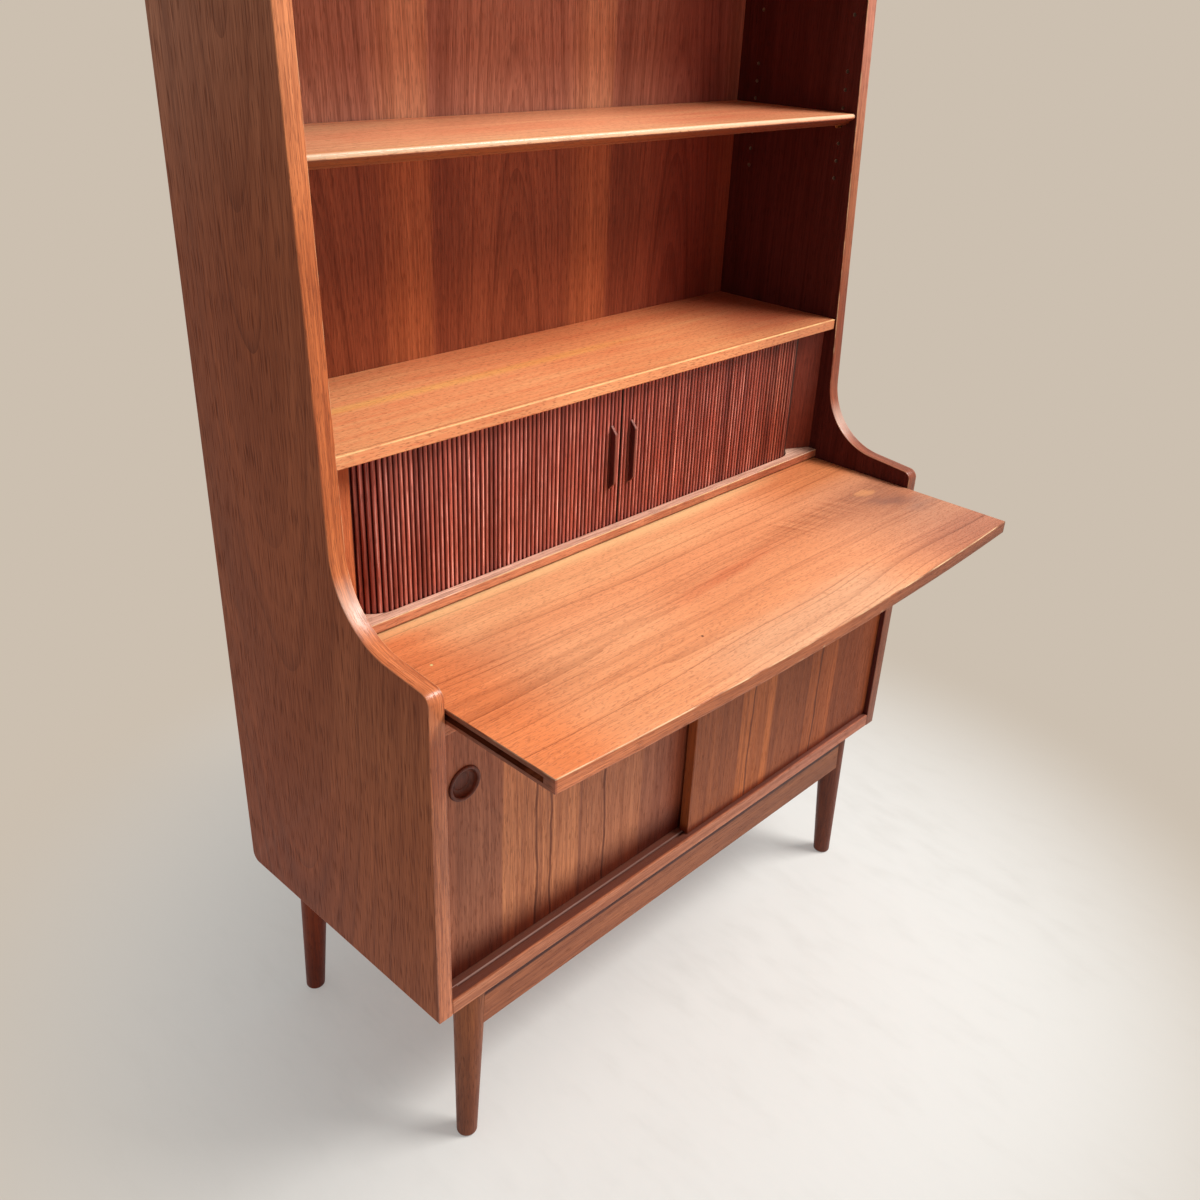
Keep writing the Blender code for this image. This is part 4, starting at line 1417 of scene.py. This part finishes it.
@dataclass
class Tambour:
    """Two slatted curtains that run round a bend into the case, each behind a lead stile with a handle."""

    thick: float = 0.0055
    reed: float = 0.0040
    roundness: float = 3.2
    reed_points: tuple[float, ...] = (
        0.0, 0.03, 0.07, 0.13, 0.22, 0.36, 0.5, 0.64, 0.78, 0.87, 0.93, 0.97)
    height_points: int = 9
    uneven: float = 0.00022
    uneven_turns: tuple[float, float] = (2.4, 5.3)
    ripple: float = 0.00012
    ripple_turns: tuple[float, float] = (31.0, 1.9)
    crest_drop: float = 0.00025
    lead_slats: int = 4
    gap: float = 0.001
    line_y: float = 0.19875
    bend: float = 0.037
    bend_x: float = 0.398
    tail: float = 0.020
    floor_groove: float = 0.005
    head_groove: float = 0.006
    head_gap: float = 0.0009
    handle_length: float = 0.094
    handle_flat: float = 0.072
    handle_out: float = 0.0095
    handle_corner: float = 0.004
    handle_arris: float = 0.0014

    @property
    def low(self) -> float:
        """Foot of the slats, in the groove of the sill."""
        return SILL_TOP - self.floor_groove + FIT

    @property
    def high(self) -> float:
        """Head of the slats, in the groove of the fixed shelf."""
        return SHELF_UNDER + self.head_groove - self.head_gap

    def path(self, distance: np.ndarray, out: np.ndarray, side: int) -> np.ndarray:
        """Points (..., 2) at distances along the run, set out from it.

        The run is straight along the front, then a quarter circle, then straight towards the back.

        Args:
            distance: distance from the meeting line.
            out: how far the point stands in front of the run.
            side: LEFT or RIGHT.

        Returns:
            Carcase x and y.
        """
        turn = np.clip((distance - self.bend_x) / self.bend, 0, math.pi / 2)
        beyond = np.maximum(distance - self.bend_x - self.bend * math.pi / 2, 0)
        x = np.minimum(distance, self.bend_x) + (self.bend + out) * np.sin(turn)
        y = self.line_y + self.bend - (self.bend + out) * np.cos(turn) + beyond
        return np.stack([side * x, y], axis=-1)

    def reeds(self, shell: Shell, start: float, slats: int, side: int) -> None:
        """Add a run of reeded slats on a flat back.

        Across one slat the front rises from the valley as a flattened round: the crest height less the
        reed height times a power of the distance from the slat's middle. Each slat also lies a little
        lower than the next and waves by its own slow sine.

        Args:
            shell: where the patches go.
            start: distance of the first slat from the meeting line.
            slats: how many.
            side: LEFT or RIGHT.
        """
        share = np.array(self.reed_points)
        slat = np.arange(slats)
        place = np.append((slat[:, None] + share).ravel(), float(slats))
        within = np.append(np.tile(share, slats), 0.0)
        number = np.append(np.repeat(slat, len(share)), slats - 1)
        crown = 1 - np.abs(2 * within - 1) ** self.roundness
        first_turn, second_turn = self.uneven_turns
        lower = self.uneven * (np.sin(number * first_turn + side) + np.sin(number * second_turn) - 2)
        height = np.linspace(self.low, self.high, self.height_points)
        up_turn, slat_turn = self.ripple_turns
        wave = self.ripple * np.sin(height[:, None] * up_turn + number * slat_turn)
        front_out = self.thick / 2 - self.reed * (1 - crown) + (lower + wave) * crown
        distance = np.broadcast_to(start + place * SLAT_PITCH, front_out.shape)
        front = self.path(distance, front_out, side)
        back = self.path(distance, np.full(front_out.shape, -self.thick / 2), side)
        ring = np.concatenate([front, back[:, ::-1], front[:, :1]], axis=1)
        run = np.concatenate([distance, distance[:, ::-1], distance[:, :1]], axis=1)
        tall = np.broadcast_to(height[:, None], run.shape)
        space = np.stack([ring[..., 0], ring[..., 1] + SHIFT, tall], axis=-1)
        along = np.stack([run - start, tall], axis=-1)
        split = distance.shape[1]
        for first, last, smooth in ((0, split, True), (split - 1, split + 1, False),
                                    (split, 2 * split, True), (2 * split - 1, 2 * split + 1, False)):
            shell.grid(space[:, first:last], along[:, first:last], smooth=smooth)
        for row in (0, -1):
            pair = np.array([space[row, :split], space[row, split:2 * split][::-1]])
            flat = np.array([along[row, :split], along[row, split:2 * split][::-1]])
            shell.grid(pair, flat, smooth=False)

    def curtain(self, side: int, finish: Teak) -> bpy.types.Object:
        """Make the curtain, which runs round the bend into the case.

        Args:
            side: LEFT or RIGHT.
            finish: finish of the slats.

        Returns:
            The piece, riding on the carcase.
        """
        start = self.gap / 2 + self.lead_slats * SLAT_PITCH + FIT
        length = self.bend_x + self.bend * math.pi / 2 + self.tail - start
        shell = Shell()
        self.reeds(shell, start, math.floor(length / SLAT_PITCH), side)
        name = SIDE_NAMES[side]
        obj = shell.piece(name + "_curtain_slats", (finish,), "carcase", name + "_curtain", "teak_tambour",
                          sharp=60.0)
        end = self.bend_x + self.bend + self.thick / 2 - self.crest_drop
        (end - self.bend_x) / (end - start)
        side * end
        (self.low + self.high) / 2
        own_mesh(obj)
        return obj

    def lead(self, side: int, finish: Teak) -> bpy.types.Object:
        """Make the lead stile: the first slats, glued up as one piece.

        Args:
            side: LEFT or RIGHT.
            finish: finish of the slats.

        Returns:
            The piece, riding on its tambour.
        """
        shell = Shell()
        self.reeds(shell, self.gap / 2, self.lead_slats, side)
        name = SIDE_NAMES[side]
        return shell.piece(name + "_lead_slats", (finish,), name + "_tambour", name + "_lead_stile",
                           "teak_tambour", sharp=60.0)

    def handle(self, side: int, finish: Teak) -> bpy.types.Object:
        """Make the handle: a bar with sloping ends and well rounded edges.

        Args:
            side: LEFT or RIGHT.
            finish: finish of the handle.

        Returns:
            The piece, riding on its tambour.
        """
        middle = (SILL_TOP + SHELF_UNDER) / 2
        seat = self.line_y - self.thick / 2 - FIT
        crest = seat - self.handle_out
        outline = rounded_outline([
            (seat, middle - self.handle_length / 2, 0),
            (seat, middle + self.handle_length / 2, 0),
            (crest, middle + self.handle_flat / 2, self.handle_corner),
            (crest, middle - self.handle_flat / 2, self.handle_corner),
        ])
        shell = Shell()
        low, high = (side * HANDLE_SET + way * HANDLE_WIDE / 2 for way in (-1, 1))
        Slab(outline, low, high, Plane.UPRIGHT, self.handle_arris).fill(shell)
        name = SIDE_NAMES[side]
        return shell.piece(name + "_handle_bar", (finish,), name + "_tambour", name + "_tambour_handle",
                           "teak_handle")


@dataclass
class DoorPulls:
    """Turned finger cups let into the sliding doors.

    The floor's edge is points from the foot of the step round the floor; faces are the carcase y of the
    door fronts.
    """

    rim: float = 0.024
    bowl: float = 0.0185
    ledge: float = 0.013
    wall_power: float = 1.6
    floor: float = 0.0115
    floor_edge: tuple[tuple[float, float], ...] = (
        (-0.0008, 0.0), (0.0, 0.0003), (0.0002, 0.0008), (0.0005, 0.0010))
    step: float = 0.001
    body: float = 0.0205
    proud: float = 0.003
    bowl_depth: float = 0.0065
    body_depth: float = 0.0095
    edge_set: float = 0.048
    drop: float = 0.099
    door_top: float = 0.696
    door_gap: float = 0.0005
    segments: int = 64
    faces: dict[int, float] = field(default_factory=lambda: {LEFT: 0.0286, RIGHT: 0.0084})

    def profile(self) -> np.ndarray:
        """Profile from the middle of the cup over the half-round rim to the middle of its back.

        The wall goes out from the ledge with the sine of a quarter turn, and up with a power of its
        cosine.

        Returns:
            Points (n, 2) of radius and height.
        """
        turn = np.linspace(math.pi, 0, 13)
        bead = np.stack([(self.bowl + self.rim) / 2 + (self.rim - self.bowl) / 2 * np.cos(turn),
                         FIT + (self.proud - FIT) * np.sin(turn)], axis=1)
        rise = np.linspace(0, 1, 7)[:-1] * math.pi / 2
        wall = np.stack([self.ledge + (self.bowl - self.ledge) * np.sin(rise),
                         (self.step - self.bowl_depth) * np.cos(rise) ** self.wall_power], axis=1)
        edge = np.array((self.floor, -self.bowl_depth)) + self.floor_edge
        outside = [(self.body, FIT), (self.body, -self.body_depth), (0, -self.body_depth)]
        return np.concatenate([[(0, -self.bowl_depth)], edge, wall, bead, outside])

    def build(self, side: int, finish: Turned) -> bpy.types.Object:
        """Make one pull.

        Args:
            side: LEFT or RIGHT.
            finish: finish of the turned wood.

        Returns:
            The piece, riding on its door.
        """
        grid = turned_grid(self.profile(), self.segments)
        x = side * (INNER_X - self.door_gap - self.edge_set)
        y = self.faces[side] + SHIFT
        z = self.door_top - self.drop
        shell = Shell()
        shell.grid(np.stack([x + grid[..., 0], y - grid[..., 2], z + grid[..., 1]], axis=-1))
        name = SIDE_NAMES[side] + "_door_pull"
        return shell.piece(name + "_cup", (finish,), SIDE_NAMES[side] + "_sliding_door", name, "turned_dark",
                           sharp=50.0)


@dataclass
class Legs:
    """Four turned, tapered and splayed legs. A row is its carcase y and the way it splays."""

    top_radius: float = 0.0225
    foot_radius: float = 0.0145
    foot_round: float = 0.004
    inset_x: float = 0.076
    splay_x: float = 0.014
    splay_y: float = 0.006
    rows: dict[str, tuple[float, int]] = field(default_factory=lambda: {
        "front": (0.032, -1), "rear": (DEPTH - 0.037, 1)})

    def build(self, row: str, side: int, finish: Teak) -> bpy.types.Object:
        """Make one leg.

        The profile falls straight from the top radius to the foot and turns under in a quarter round; each
        height is then shifted outwards in proportion to its drop.

        Args:
            row: front or rear.
            side: LEFT or RIGHT.
            finish: finish of the leg.

        Returns:
            The piece, riding on the carcase.
        """
        y, way = self.rows[row]
        top = CABINET_BASE - FIT
        turn = np.linspace(0, math.pi / 2, 7)
        foot = np.stack([self.foot_radius - self.foot_round * (1 - np.cos(turn)),
                         self.foot_round * (1 - np.sin(turn))], axis=1)
        shaft = np.linspace((self.top_radius, top), foot[0], 8)[:-1]
        grid = turned_grid(np.concatenate([[(0, top)], shaft, foot, [(0, 0)]]))
        drop = 1 - grid[..., 2] / top
        shell = Shell()
        shell.grid(grid + np.stack([side * (WIDTH / 2 - self.inset_x + self.splay_x * drop),
                                    y + way * self.splay_y * drop + SHIFT, 0 * drop], axis=-1))
        name = f"{row}_{SIDE_NAMES[side]}_leg"
        return shell.piece(name + "_turned", (finish,), "carcase", name, "teak_base")


@dataclass
class Studio:
    """Pale floor, soft light and the camera.

    At a level of 1 the lamp shows a colour as it is written on a face that looks at it.
    """

    eye: tuple[float, float, float] = (-1.1342, -0.9495, 1.4329)
    yaw: float = 47.2284
    pitch: float = -27.9964
    roll: float = 2.6343
    lens: float = 34.756
    sensor: float = 36.0
    view_end: float = 1000.0
    floor_half: float = 200.0
    floor_near: float = 4.0
    lamp_way: tuple[float, float, float] = (0.62, -0.60, 0.95)
    lamp_distance: float = 4.2
    lamp_size: float = 1.9
    lamp_level: float = 1.36
    lamp_color: Color = (1.0, 0.985, 0.96)
    aim: tuple[float, float, float] = (0.0, 0.0, 0.9)
    sky_level: float = 0.35

    def camera(self) -> None:
        """Place the camera by its yaw from +Y, its pitch and its roll."""
        yaw, pitch, roll = (math.radians(a) for a in (self.yaw, self.pitch, self.roll))
        ahead = Vector((math.sin(yaw) * math.cos(pitch), math.cos(yaw) * math.cos(pitch), math.sin(pitch)))
        level = Vector((math.cos(yaw), -math.sin(yaw), 0.0))
        rise = level.cross(ahead)
        right = math.cos(roll) * level + math.sin(roll) * rise
        up = math.cos(roll) * rise - math.sin(roll) * level
        data = bpy.data.cameras.new("camera")
        data.sensor_width = self.sensor
        data.lens = self.lens
        data.clip_end = self.view_end
        obj = bpy.data.objects.new("camera", data)
        turn = Matrix((right, up, -ahead)).transposed().to_4x4()
        obj.matrix_world = Matrix.Translation(self.eye) @ turn
        bpy.context.scene.collection.objects.link(obj)
        bpy.context.scene.camera = obj

    def floor(self, finish: PaleFloor) -> None:
        """Lay the floor as one flat grid.

        Args:
            finish: finish of the floor.
        """
        reach = np.array([-self.floor_half, -self.floor_near, self.floor_near, self.floor_half])
        x, y = np.meshgrid(reach, reach, indexing="ij")
        shell = Shell()
        shell.grid(np.stack([x, y, np.zeros_like(x)], axis=-1), smooth=False)
        obj = shell.build("floor", (finish,))
        if obj.data.polygons[0].normal.z < 0:
            obj.data.flip_normals()

    def lamp(self) -> None:
        """Hang one square soft lamp."""
        data = bpy.data.lights.new("key", "AREA")
        data.shape = "SQUARE"
        data.size = self.lamp_size
        data.color = self.lamp_color
        data.energy = self.lamp_level * (math.pi * self.lamp_distance) ** 2
        obj = bpy.data.objects.new("key", data)
        direction = Vector(self.lamp_way).normalized()
        obj.location = Vector(self.aim) + direction * self.lamp_distance
        obj.rotation_euler = direction.to_track_quat("Z", "Y").to_euler()
        bpy.context.scene.collection.objects.link(obj)

    def sky(self, backdrop: Color) -> None:
        """Light the scene evenly, and show a pale backdrop to the camera and in reflections.

        Args:
            backdrop: its colour.
        """
        world = bpy.data.worlds.new("sky")
        bpy.context.scene.world = world
        world.use_nodes = True
        world.node_tree.nodes.clear()
        net = Net(world.node_tree)
        lit = net.node("ShaderNodeBackground", inputs={"Color": (1.0, 1.0, 1.0), "Strength": self.sky_level})
        shown = net.node("ShaderNodeBackground", inputs={"Color": backdrop, "Strength": 1.0})
        both = net.node("ShaderNodeMixShader", inputs={0: net.seen(), 1: lit, 2: shown})
        net.node("ShaderNodeOutputWorld", inputs={0: both})

    def build(self) -> None:
        """Set up the studio."""
        bpy.context.scene.view_settings.view_transform = "Standard"
        self.camera()
        finish = PaleFloor("pale_floor")
        self.floor(finish)
        self.lamp()
        self.sky(finish.backdrop)


# Finishes of this bookcase

ON_LEFT: Span = ("x", 0.0, -0.1)
ON_RIGHT: Span = ("x", 0.0, 0.1)
UPPER_BAY: Span = ("z", LOWER_TOP - 0.012, LOWER_TOP)
SILL_FACE: Span = ("z", SILL_TOP - 0.0010, SILL_TOP - 0.0004)
LEAF_NOSE: Span = ("y", FRONT_Y - 0.160, FRONT_Y - 0.168)

OUTER = Teak(
    "teak_outer", Grain.SIDE, (0.342, 0.091, 0.036), heart=0.16, heart_depth=0.20, tilt=-0.10, rings=100.0,
    wander=0.03, tone=0.2, streak=0.35, fibre=0.6, lines=0.62, pores=0.66, pore_rows=520.0,
    pore_dashes=24.0, sheen=0.15, washes=(
        wash(1.16, 1.48, 1.85, ("z", 1.15, 1.45)),
        wash(0.97, 0.86, 0.72, ("z", 0.75, 0.45)),
        wash(0.92, 0.68, 0.42, ("y", FRONT_Y + 0.14, REAR_Y), ("z", 1.35, 1.05)),
        wash(1.12, 1.22, 1.18, ("y", FRONT_Y + 0.24, FRONT_Y + 0.04), ("z", 0.80, 0.65))))
# The inner faces are dark partly as unfaded wood and partly as painted shade.
INNER = Teak("teak_inner", Grain.SIDE, (0.085, 0.016, 0.012), contrast=0.35, sheen=0.08, seed=1.0)
EDGE = LippingTeak(
    "teak_lipping", Grain.RUN, (0.60, 0.170, 0.055), heart=3.0, rings=500.0, fibre=0.7, roughness=0.30,
    sheen=0.45, washes=(
        # The washes by height are painted light and shade along the lipping; the one on the left just under
        # the nose is the painted shade of the leaf. The right lipping is also darker overall.
        wash(1.08, 1.25, 1.54, ("z", 1.20, 1.40)),
        wash(0.84, 0.73, 0.62, ("z", 0.83, 0.92), ("z", 1.30, 1.15)),
        wash(1.08, 1.18, 1.46, ("z", 0.85, 0.70)),
        wash(0.88, 0.78, 0.72, ON_LEFT, ("z", 0.725, 0.690), ("z", 0.600, 0.640)),
        wash(0.62, 0.72, 1.05, ON_RIGHT),
        wash(1.20, 1.10, 1.20, ON_RIGHT, ("z", 1.20, 1.40)),
        wash(0.80, 0.60, 0.58, ON_RIGHT, ("z", 1.15, 0.95)),
        wash(0.65, 0.60, 0.45, ON_RIGHT, ("z", 0.80, 0.70))))
BACK = BackTeak(
    "teak_back", Grain.UPRIGHT, (0.37, 0.096, 0.039), heart=0.147, heart_depth=-0.005, tilt=0.063,
    rings=240.0, sharp=3.0, wander=0.008, lines=0.6, fibre=0.5, seed=2.0, sheen=0.2, washes=(
        # Washes: painted light in the upper bay, and painted shade on the right part of the back, where the
        # right side casts its shadow.
        wash(1.55, 2.55, 3.95, UPPER_BAY),
        wash(0.70, 0.40, 0.48, ("x", 0.10, 0.40)),
        wash(0.85, 0.88, 0.74, ("x", 0.05, 0.40), UPPER_BAY)))
SHELF = FixedShelfTeak(
    "teak_shelf", Grain.ALONG_X, (0.97, 0.362, 0.157), contrast=0.36, red_share=0.5, heart=1.5, tone=0.3,
    streak=0.28, lines=0.35, pores=0.5, pore_rows=640.0, pore_dashes=110.0, seed=4.0, fibre=0.4,
    # Its pale front arris is partly wear and partly a painted highlight.
    roughness=0.40, pale=(0.90, 0.64, 0.28), arris_wear_and_highlights=(ArrisWearAndHighlight("y", SHELF_FRONT, "z", SHELF_TOP),), washes=(
        # Next two: the painted shadow of the right side on the right end, and painted shade towards the rear.
        wash(0.42, 0.28, 0.30, ("x", 0.16, 0.42), ("y", SHELF_FRONT - 0.07, SHELF_FRONT + 0.07)),
        wash(0.95, 0.85, 0.82, ("x", -0.30, -0.10), ("y", SHELF_FRONT + 0.06, SHELF_FRONT + 0.16)),
        wash(0.93, 0.88, 0.84, ("x", -0.15, 0.05)),
        wash(1.03, 1.20, 0.92, ("x", 0.20, 0.0), ("y", SHELF_FRONT + 0.110, SHELF_FRONT + 0.122),
             ("y", SHELF_FRONT + 0.140, SHELF_FRONT + 0.128))))
LOOSE = ShelfTeak(
    "teak_loose_shelf", Grain.ALONG_X, (0.97, 0.420, 0.218), heart=0.9, heart_depth=0.03, tilt=0.05,
    contrast=0.34, red_share=0.5, sharp=7.0, streak=0.4, lines=0.6, pores=0.45, pore_rows=640.0,
    pore_dashes=110.0, seed=6.0, roughness=0.36, sheen=0.5, washes=(
        # Painted shade on the right half of the shelf, towards the right side.
        wash(0.80, 0.64, 0.58, ("x", 0.0, 0.30)),))
LEAF = LeafTeak(
    "teak_leaf", Grain.ALONG_X, (0.80, 0.310, 0.140), contrast=0.30, heart=0.42, heart_depth=0.10, tilt=0.03,
    rings=66.0, sharp=10.0, wander=0.018, crowding=1.5, tone=0.55, streak=0.26, fibre=0.38, lines=1.0,
    pores=0.32, pore_rows=620.0, pore_dashes=130.0, seed=7.0, roughness=0.38, washes=(
        wash(1.04, 1.22, 1.26, ("x", -0.44, -0.34), ("x", 0.30, 0.0), ("y", FRONT_Y + 0.06, FRONT_Y + 0.13)),
        wash(1.03, 0.78, 0.62, ("x", -0.34, -0.44)),
        wash(1.12, 1.27, 1.36, ("x", -0.38, -0.28), ("x", -0.06, -0.20),
             ("y", FRONT_Y - 0.09, FRONT_Y - 0.02), ("y", FRONT_Y + 0.09, FRONT_Y + 0.02)),
        wash(0.95, 1.18, 1.42, ("x", -0.28, -0.08), ("x", 0.24, 0.12), ("y", FRONT_Y - 0.08, FRONT_Y - 0.14)),
        wash(0.82, 0.70, 0.70, ("x", 0.17, 0.38), ("y", FRONT_Y - 0.08, FRONT_Y - 0.13)),
        wash(0.85, 0.72, 0.60, ("x", 0.20, 0.36), ("y", FRONT_Y + 0.08, FRONT_Y + 0.12))))
LEAF_EDGE = LeafEdgeTeak(
    "teak_leaf_lipping", Grain.RUN, (0.42, 0.120, 0.045), heart=3.0, rings=600.0, roughness=0.38, washes=(
        wash(1.50, 1.55, 1.60, ("x", -0.20, -0.45), LEAF_NOSE),
        wash(0.60, 0.55, 0.60, ("x", -0.05, 0.25), LEAF_NOSE)))
SILL = Teak(
    "teak_sill", Grain.ALONG_X, (0.64, 0.240, 0.122), heart=2.0, rings=260.0, seed=9.0,
    # Its pale front arris is partly wear and partly a painted highlight.
    pale=(0.80, 0.52, 0.22), arris_wear_and_highlights=(ArrisWearAndHighlight("y", FRONT_Y + 0.180, "z", SILL_TOP, 0.0016, 0.6),), washes=(
        wash(1.12, 1.70, 2.40, SILL_FACE),
        # Next two: painted shade in the right corner of the front face, and along the foot of the face, over
        # the leaf.
        wash(0.75, 0.60, 0.55, ("x", 0.15, 0.35), ("z", SILL_TOP - 0.0004, SILL_TOP - 0.0010)),
        wash(0.45, 0.38, 0.35, ("z", DESK_HEIGHT + 0.0038, DESK_HEIGHT + 0.0022))))
PANEL = FloorTeak(
    "teak_panel", Grain.ALONG_X, (0.62, 0.220, 0.104), heart=2.0, cut=1.0, rings=120.0, seed=11.0, washes=(
        wash(0.62, 0.57, 0.66, ("x", -0.20, 0.35)),))
TOP = Teak(
    "teak_top", Grain.ALONG_X, (0.50, 0.165, 0.075), heart=0.42, heart_depth=0.08, tilt=0.04, rings=90.0,
    seed=12.0)
LEFT_DOOR = DoorTeak(
    "teak_left_door", Grain.UPRIGHT, (0.43, 0.145, 0.073), heart=-1.2, fibre=0.35, streak=0.35, seed=13.0,
    sheen=0.2, veins=(-0.31, -0.284, -0.18), bands=((-0.300, 0.072, 1.0), (-0.165, 0.063, 0.45)), washes=(
        # Washes: the painted shadow of the right door on this door's right end, painted light at its left
        # edge, and painted shade at its foot, where the lip of the bottom panel keeps off the floor's light.
        wash(0.62, 0.42, 0.38, ("x", -0.12, 0.0)),
        wash(1.22, 1.12, 1.08, ("x", -0.43, -0.47)),
        wash(0.24, 0.10, 0.07, ("z", 0.375, 0.305))))
RIGHT_DOOR = DoorTeak(
    "teak_right_door", Grain.UPRIGHT, (0.318, 0.081, 0.0235), heart=1.3, fibre=0.35, streak=0.35, seed=14.0,
    sheen=0.2, veins=(0.125, 0.305), bands=((0.14, 0.045, 1.0), (0.315, 0.04, 0.8)), washes=(
        wash(0.64, 0.52, 0.44, ("x", 0.08, 0.40)),
        # Painted shade at the foot of the door, where the lip of the bottom panel keeps off the floor's
        # light.
        wash(0.50, 0.30, 0.25, ("z", 0.316, 0.302))))
FILLER = Teak(
    "teak_filler", Grain.UPRIGHT, (0.42, 0.125, 0.058), heart=1.6, rings=260.0, seed=15.0, washes=(
        # Washes: painted shade on the right filler, which faces away from the lamp, and painted light on the
        # left one, which faces it.
        wash(0.51, 0.28, 0.28, ON_RIGHT),
        wash(1.25, 1.08, 0.82, ON_LEFT)))
SLATS = SlatTeak(
    "teak_slats", Grain.RUN, (0.50, 0.106, 0.072), heart=3.0, rings=300.0, fibre=0.7, seed=17.0,
    roughness=0.36, sheen=0.5, washes=(
        wash(0.78, 0.64, 0.60, ("x", -0.30, 0.10)),
        wash(0.92, 0.88, 0.72, ("x", 0.26, 0.37))))
HANDLE = HandleTeak(
    "teak_handle", Grain.UPRIGHT, (0.26, 0.075, 0.050), rings=400.0, seed=19.0, roughness=0.46, sheen=0.25)
BASE = Teak(
    "teak_base", Grain.UPRIGHT, (0.22, 0.057, 0.018), heart=0.9, rings=190.0, seed=21.0, sheen=0.25, washes=(
        wash(0.60, 0.44, 0.40, ON_RIGHT),
        wash(0.90, 0.46, 0.18, ("y", 0.0, 0.2)),
        # The left legs: painted light on their upper part, and darker towards the foot.
        wash(1.25, 1.30, 1.20, ON_LEFT, ("z", 0.14, 0.23)),
        wash(0.82, 0.74, 0.70, ON_LEFT, ("z", 0.14, 0.04))))
RAIL = Teak(
    "teak_rail", Grain.ALONG_X, (0.37, 0.108, 0.039), heart=1.9, cut=1.0, rings=120.0, seed=23.0, washes=(
        # Painted shadow of the bottom panel's overhang along the top of the aprons.
        wash(0.24, 0.08, 0.04, ("z", CABINET_BASE - 0.0235, CABINET_BASE - 0.0205)),
        wash(0.64, 0.62, 0.54, ("x", -0.25, 0.35))))
CUP = Turned("turned_dark", (0.075, 0.016, 0.009), (0.270, 0.066, 0.034))
PLYWOOD = Ply("plywood")
BORED = Ply("bored_wood", (0.22, 0.13, 0.08), (0.42, 0.28, 0.19))
PINS = Brass("brass_pin")

CARRIED: dict[str, Finish] = {
    "bottom_panel": PANEL, "door_head": TOP, "top_panel": TOP, "lower_back": PLYWOOD, "upper_back": BACK,
    "fixed_shelf": SHELF, "tambour_floor": SILL, "left_filler": FILLER, "right_filler": FILLER,
    "left_guard": PLYWOOD, "right_guard": PLYWOOD, "rear_guard": PLYWOOD, "left_lead_batten": HANDLE,
    "right_lead_batten": HANDLE, "left_leaf_runner": RAIL, "right_leaf_runner": RAIL, "left_door": LEFT_DOOR,
    "right_door": RIGHT_DOOR, "front_apron": RAIL, "rear_apron": RAIL, "left_base_rail": RAIL,
    "right_base_rail": RAIL,
}


def dress_carried() -> None:
    """Give each solid that stays in view its finish."""
    finishes = CARRIED | {name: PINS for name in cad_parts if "_pin_" in name}
    made: dict[str, bpy.types.Material] = {}
    for name, finish in finishes.items():
        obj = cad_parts[name]
        if finish.name not in made:
            made[finish.name] = finish.material()
        if not obj.material_slots:
            obj.data.materials.append(None)
        for slot in obj.material_slots:
            slot.material = made[finish.name]
        log.info("dressed %s", name)


def main() -> None:
    """Build every piece, dress the carried solids and set up the studio."""
    sides, shelves, tambour, pulls, legs = Sides(), LooseShelves(), Tambour(), DoorPulls(), Legs()
    pieces = [WritingLeaf().build(LEAF, LEAF_EDGE)]
    pieces += [shelves.build(name, sides, LOOSE) for name in shelves.seats]
    for side in (LEFT, RIGHT):
        pieces += [
            sides.build(side, EDGE, OUTER, INNER, BORED),
            tambour.curtain(side, SLATS),
            tambour.lead(side, SLATS),
            tambour.handle(side, HANDLE),
            pulls.build(side, CUP),
        ]
        pieces += [legs.build(row, side, BASE) for row in legs.rows]
    for piece in pieces:
        log.info("built %s: %d faces", piece.name, len(piece.data.polygons))
    dress_carried()
    Studio().build()


if __name__ == "__main__":
    logging.basicConfig(level=logging.INFO, format="%(name)s: %(message)s")
    main()
